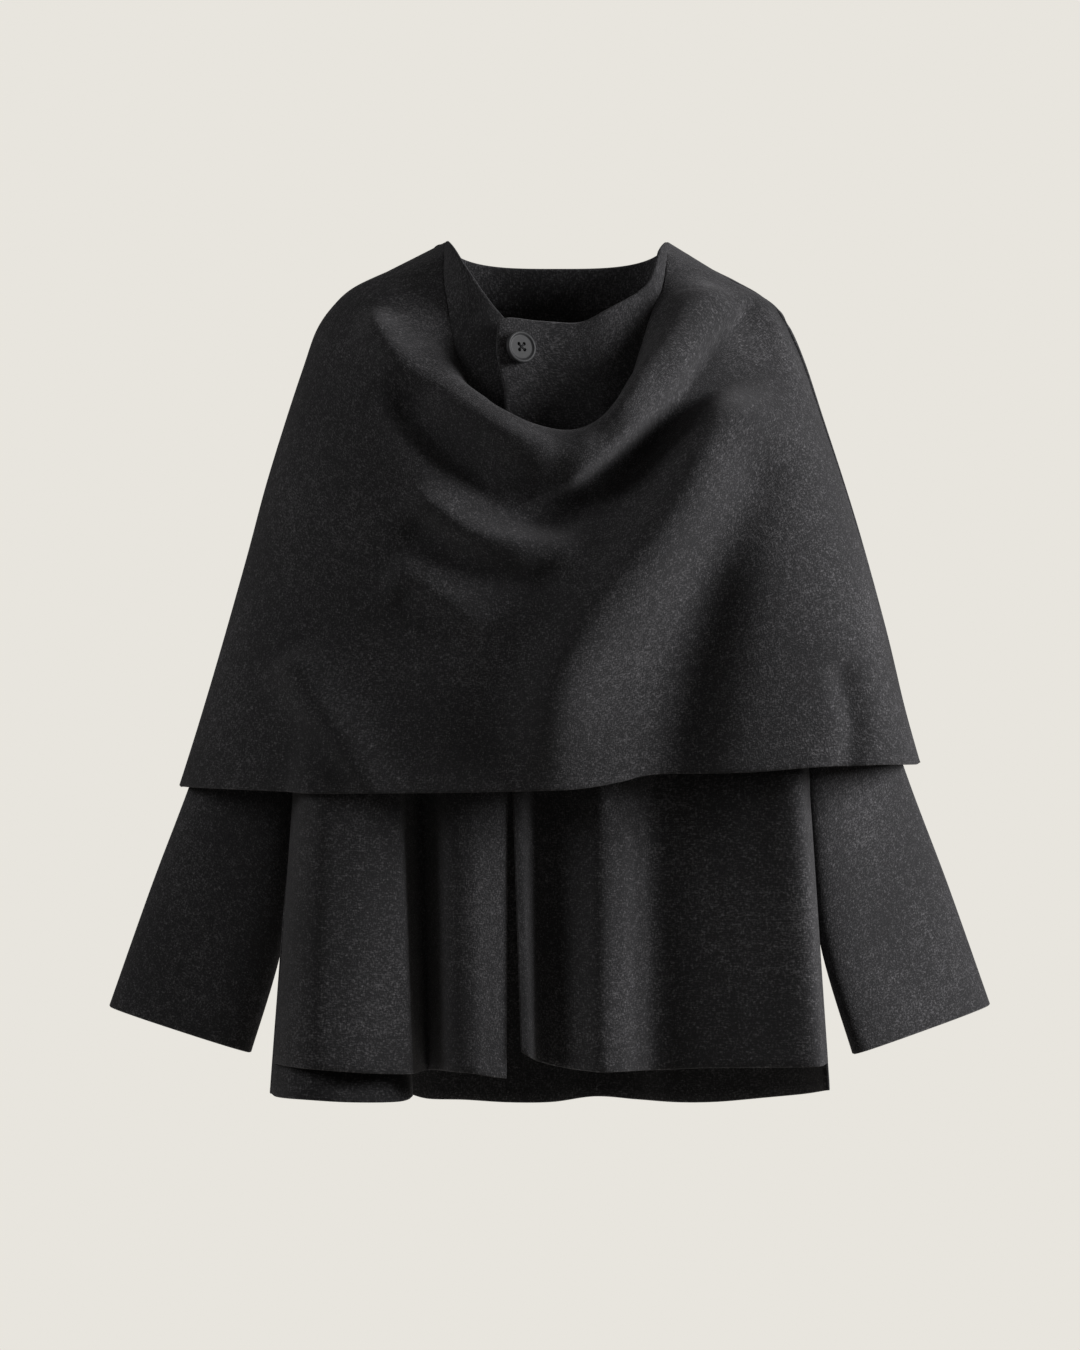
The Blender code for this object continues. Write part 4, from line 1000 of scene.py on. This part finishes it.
near_button = np.linalg.norm(over_front[..., [0, 2]] - BUTTON_PLACE, axis=-1) < BUTTON_GRIP
cloth_out = unit(grid_normals(over_front)[near_button].mean(axis=0))
middle = over_front[near_button].mean(axis=0)
seat = np.array([BUTTON_PLACE[0], 0, BUTTON_PLACE[1]], float)
seat[1] = middle[1] - (cloth_out[[0, 2]] @ (seat - middle)[[0, 2]]) / cloth_out[1]
face_out = np.array(Matrix.Rotation(np.radians(BUTTON_TURN), 3, "Z") @ Vector(cloth_out))
across_face = unit(np.cross((0, 0, 1), face_out))
up_face = np.cross(face_out, across_face)


def on_button(local):
    """Points given across, up and out of the button's base, in the garment's own axes."""
    return (seat + BUTTON_LIFT * cloth_out + local[..., :1] * across_face + local[..., 1:2] * up_face
            + local[..., 2:] * face_out)


def button_grid():
    """The profile spun round the axis: radius times cosine and sine, and its height.

    On the face each hole sinks the height by a smooth step of the distance from its middle.
    """
    radius, height = along(np.array(BUTTON_PROFILE, float), even(BUTTON_RINGS)).T
    turn = np.linspace(0, 2 * np.pi, BUTTON_SIDES, endpoint=False)
    grid = np.stack([radius[:, None] * np.cos(turn), radius[:, None] * np.sin(turn),
                     height[:, None] + 0 * turn], axis=-1)
    holes = np.array([(i, j) for i in (-1, 1) for j in (-1, 1)]) * HOLE_OFFSET
    away = np.linalg.norm(grid[..., None, :2] - holes, axis=-1).min(axis=-1)
    sunk = HOLE_DEPTH * ease((HOLE_EDGE * HOLE_RADIUS - away) / (HOLE_SLOPE * HOLE_RADIUS))
    grid[..., 2] -= np.where(grid[..., 2] > FACE_LOWEST, sunk, 0)
    return grid


print("button faces", face_out.round(2), "from", seat.round(1))

# %% Thread shapes
THREAD_RADIUS, THREAD_SIDES, THREAD_STEPS = 0.36, 10, 40
THREAD_SUNK, THREAD_ARCH, THREAD_SQUARENESS = 1.6, 2.15, 0.35
THREAD_PAIR = 0.4    # each thread's distance from the middle of its pair
SHANK_STEPS, SHANK_SIDES = 12, 24
SHANK_RADIUS, SHANK_FLARE, SHANK_IN_BUTTON, SHANK_LENGTH = 1.7, 0.9, 0.5, BUTTON_LIFT + 1.5


def thread_grid(start, end, side_step):
    """Thread from one hole to another: a low arch whose ends dive, swept by a small circle."""
    t = even(THREAD_STEPS)[:, None]
    start, end = np.array(start, float), np.array(end, float)
    heading = unit(end - start)
    aside = np.array([-heading[1], heading[0]])
    flat = start + t * (end - start) + side_step * aside * np.sin(np.pi * t) ** 0.5
    height = FACE_HEIGHT - THREAD_SUNK + THREAD_ARCH * np.sin(np.pi * t) ** THREAD_SQUARENESS
    path = np.concatenate([flat, height], axis=-1)
    tangent = unit(np.gradient(path, axis=0))
    aside = np.array([*aside, 0.0])
    out = np.cross(aside, tangent)
    turn = np.linspace(0, 2 * np.pi, THREAD_SIDES, endpoint=False)[None, :, None]
    return path[:, None] + THREAD_RADIUS * (np.cos(turn) * aside + np.sin(turn) * out[:, None])


def shank_grid():
    """The wound thread between button and cloth, a little thicker at both ends."""
    t = even(SHANK_STEPS)[:, None]
    turn = np.linspace(0, 2 * np.pi, SHANK_SIDES, endpoint=False)[None, :]
    radius = SHANK_RADIUS + SHANK_FLARE * (2 * t - 1) ** 2
    return np.stack([radius * np.cos(turn), radius * np.sin(turn),
                     SHANK_IN_BUTTON - SHANK_LENGTH * t + 0 * turn], axis=-1)


print("shank:", SHANK_LENGTH, "mm long")

# %% Button finish
DARK_RESIN, PALE_RESIN = (0.034, 0.034, 0.036, 1), (0.06, 0.06, 0.063, 1)
DARK_THREAD, PALE_THREAD = (0.008, 0.008, 0.009, 1), (0.022, 0.022, 0.024, 1)


def make_button_material():
    """Dark grey resin: slightly clouded, semi-gloss, with the lathe's rings in its bump."""
    made, tree, shader = new_material("grey_resin", Roughness=0.4, Specular_IOR_Level=0.16)
    place = new_node(tree, "ShaderNodeTexCoord", (-1100, 0))
    centred = new_node(tree, "ShaderNodeMapping", (-900, 0))
    inward = Matrix((across_face, up_face, face_out))
    centred.inputs["Rotation"].default_value = inward.to_euler()
    centred.inputs["Location"].default_value = -(inward @ Vector(seat * MM))
    rings = new_node(tree, "ShaderNodeTexWave", (-600, -200), wave_type="RINGS", rings_direction="Z",
                     Scale=330.0)
    cloud = new_node(tree, "ShaderNodeTexNoise", (-600, 200), Scale=220.0, Detail=3.0)
    colour = between(tree, cloud.outputs["Fac"], (-300, 200), DARK_RESIN, PALE_RESIN)
    bump = new_node(tree, "ShaderNodeBump", (-300, -200), Strength=0.5, Distance=0.03 * MM)
    tree.links.new(place.outputs["Object"], centred.inputs["Vector"])
    tree.links.new(centred.outputs["Vector"], rings.inputs["Vector"])
    tree.links.new(centred.outputs["Vector"], cloud.inputs["Vector"])
    tree.links.new(colour.outputs[2], shader.inputs["Base Color"])
    tree.links.new(rings.outputs["Fac"], bump.inputs["Height"])
    tree.links.new(bump.outputs["Normal"], shader.inputs["Normal"])
    return made


def make_thread_material():
    """Twisted dark thread: two shades in fine stripes across its length."""
    made, tree, shader = new_material("dark_thread", Roughness=0.8)
    place = new_node(tree, "ShaderNodeTexCoord", (-800, 0))
    twist = new_node(tree, "ShaderNodeTexWave", (-600, 0), bands_direction="DIAGONAL", Scale=900.0)
    colour = between(tree, twist.outputs["Fac"], (-300, 0), DARK_THREAD, PALE_THREAD)
    tree.links.new(place.outputs["Object"], twist.inputs["Vector"])
    tree.links.new(colour.outputs[2], shader.inputs["Base Color"])
    return made


button = add_solid("coat_button", [on_button(button_grid())], make_button_material())
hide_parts("button")
hole_pairs = np.array([[(-1, -1), (1, 1)], [(-1, 1), (1, -1)]]) * HOLE_OFFSET
crossed = [on_button(thread_grid(start, end, step))
           for start, end in hole_pairs for step in (-THREAD_PAIR, THREAD_PAIR)]
threads = add_solid("button_thread", crossed + [on_button(shank_grid())], make_thread_material())

# %% [markdown]


# %% [markdown]
# ## Light and room
#
# One large soft light stands to the right and a little in front, so that every surface that
# turns right is bright and every fold's left side falls into shade.  A second, four times
# weaker, stands opposite, and the room itself gives a weak even fill.  The floor is pale, and
# fades out towards its rim into the pale backdrop.

# %% Lights, backdrop and floor
BACKDROP = (0.807, 0.783, 0.730, 1)
ROOM_FILL = 0.08


def add_light(name, place, target, size, power):
    """Square area light at a place, facing a target."""
    light = bpy.data.lights.new(name, "AREA")
    light.size, light.energy = size, power
    lamp = bpy.data.objects.new(name, light)
    lamp.location = place
    lamp.rotation_euler = (Vector(target) - Vector(place)).to_track_quat("-Z", "Y").to_euler()
    bpy.context.scene.collection.objects.link(lamp)
    return lamp


LIT_POINT = (0.0, 0.0, -0.3)
key = add_light("key", (3.01, -0.64, 0.58), LIT_POINT, 1.4, 120)
fill = add_light("fill", (-3.36, -1.22, 1.0), LIT_POINT, 1.6, 30)

world = bpy.data.worlds.new("room")
world.use_nodes = True
bpy.context.scene.world = world
tree = world.node_tree
seen = tree.nodes["Background"]
seen.inputs["Color"].default_value = BACKDROP
lit = new_node(tree, "ShaderNodeBackground", (0, -200), Color=BACKDROP, Strength=ROOM_FILL)
ray = new_node(tree, "ShaderNodeLightPath", (-300, 200))
either = new_node(tree, "ShaderNodeMixShader", (250, 0))
tree.links.new(ray.outputs["Is Camera Ray"], either.inputs[0])
tree.links.new(lit.outputs[0], either.inputs[1])
tree.links.new(seen.outputs[0], either.inputs[2])
tree.links.new(either.outputs[0], tree.nodes["World Output"].inputs["Surface"])
bpy.context.scene.view_settings.view_transform = "Standard"
print("lights:", key.name, fill.name)

# %% Floor
FLOOR_HEIGHT, FLOOR_RADIUS, FLOOR_SIDES = -1.6, 1.3, 96


def make_floor():
    """Pale disc below the garment, opaque in the middle and clear at its rim."""
    turn = np.linspace(0, 2 * np.pi, FLOOR_SIDES, endpoint=False)
    points = np.stack([np.cos(turn) * FLOOR_RADIUS, np.sin(turn) * FLOOR_RADIUS,
                       0 * turn + FLOOR_HEIGHT], axis=-1)
    mesh = bpy.data.meshes.new("floor")
    mesh.from_pydata(points.tolist(), [], [list(range(len(points)))])
    made, tree, shader = new_material("pale_floor", Base_Color=BACKDROP, Roughness=0.9)
    place = new_node(tree, "ShaderNodeTexCoord", (-900, 0))
    flat = new_node(tree, "ShaderNodeMapping", (-700, 0))
    flat.inputs["Scale"].default_value = (1, 1, 0)
    reach = new_node(tree, "ShaderNodeVectorMath", (-500, 0), operation="LENGTH")
    tree.links.new(place.outputs["Object"], flat.inputs["Vector"])
    tree.links.new(flat.outputs["Vector"], reach.inputs[0])
    clear = ramp(tree, reach.outputs["Value"], FLOOR_RADIUS, FLOOR_RADIUS / 2, (-300, 0))
    tree.links.new(clear, shader.inputs["Alpha"])
    mesh.materials.append(made)
    floor = bpy.data.objects.new("floor", mesh)
    bpy.context.scene.collection.objects.link(floor)
    return floor


floor = make_floor()
print("floor:", FLOOR_HEIGHT, "m below the shoulders")
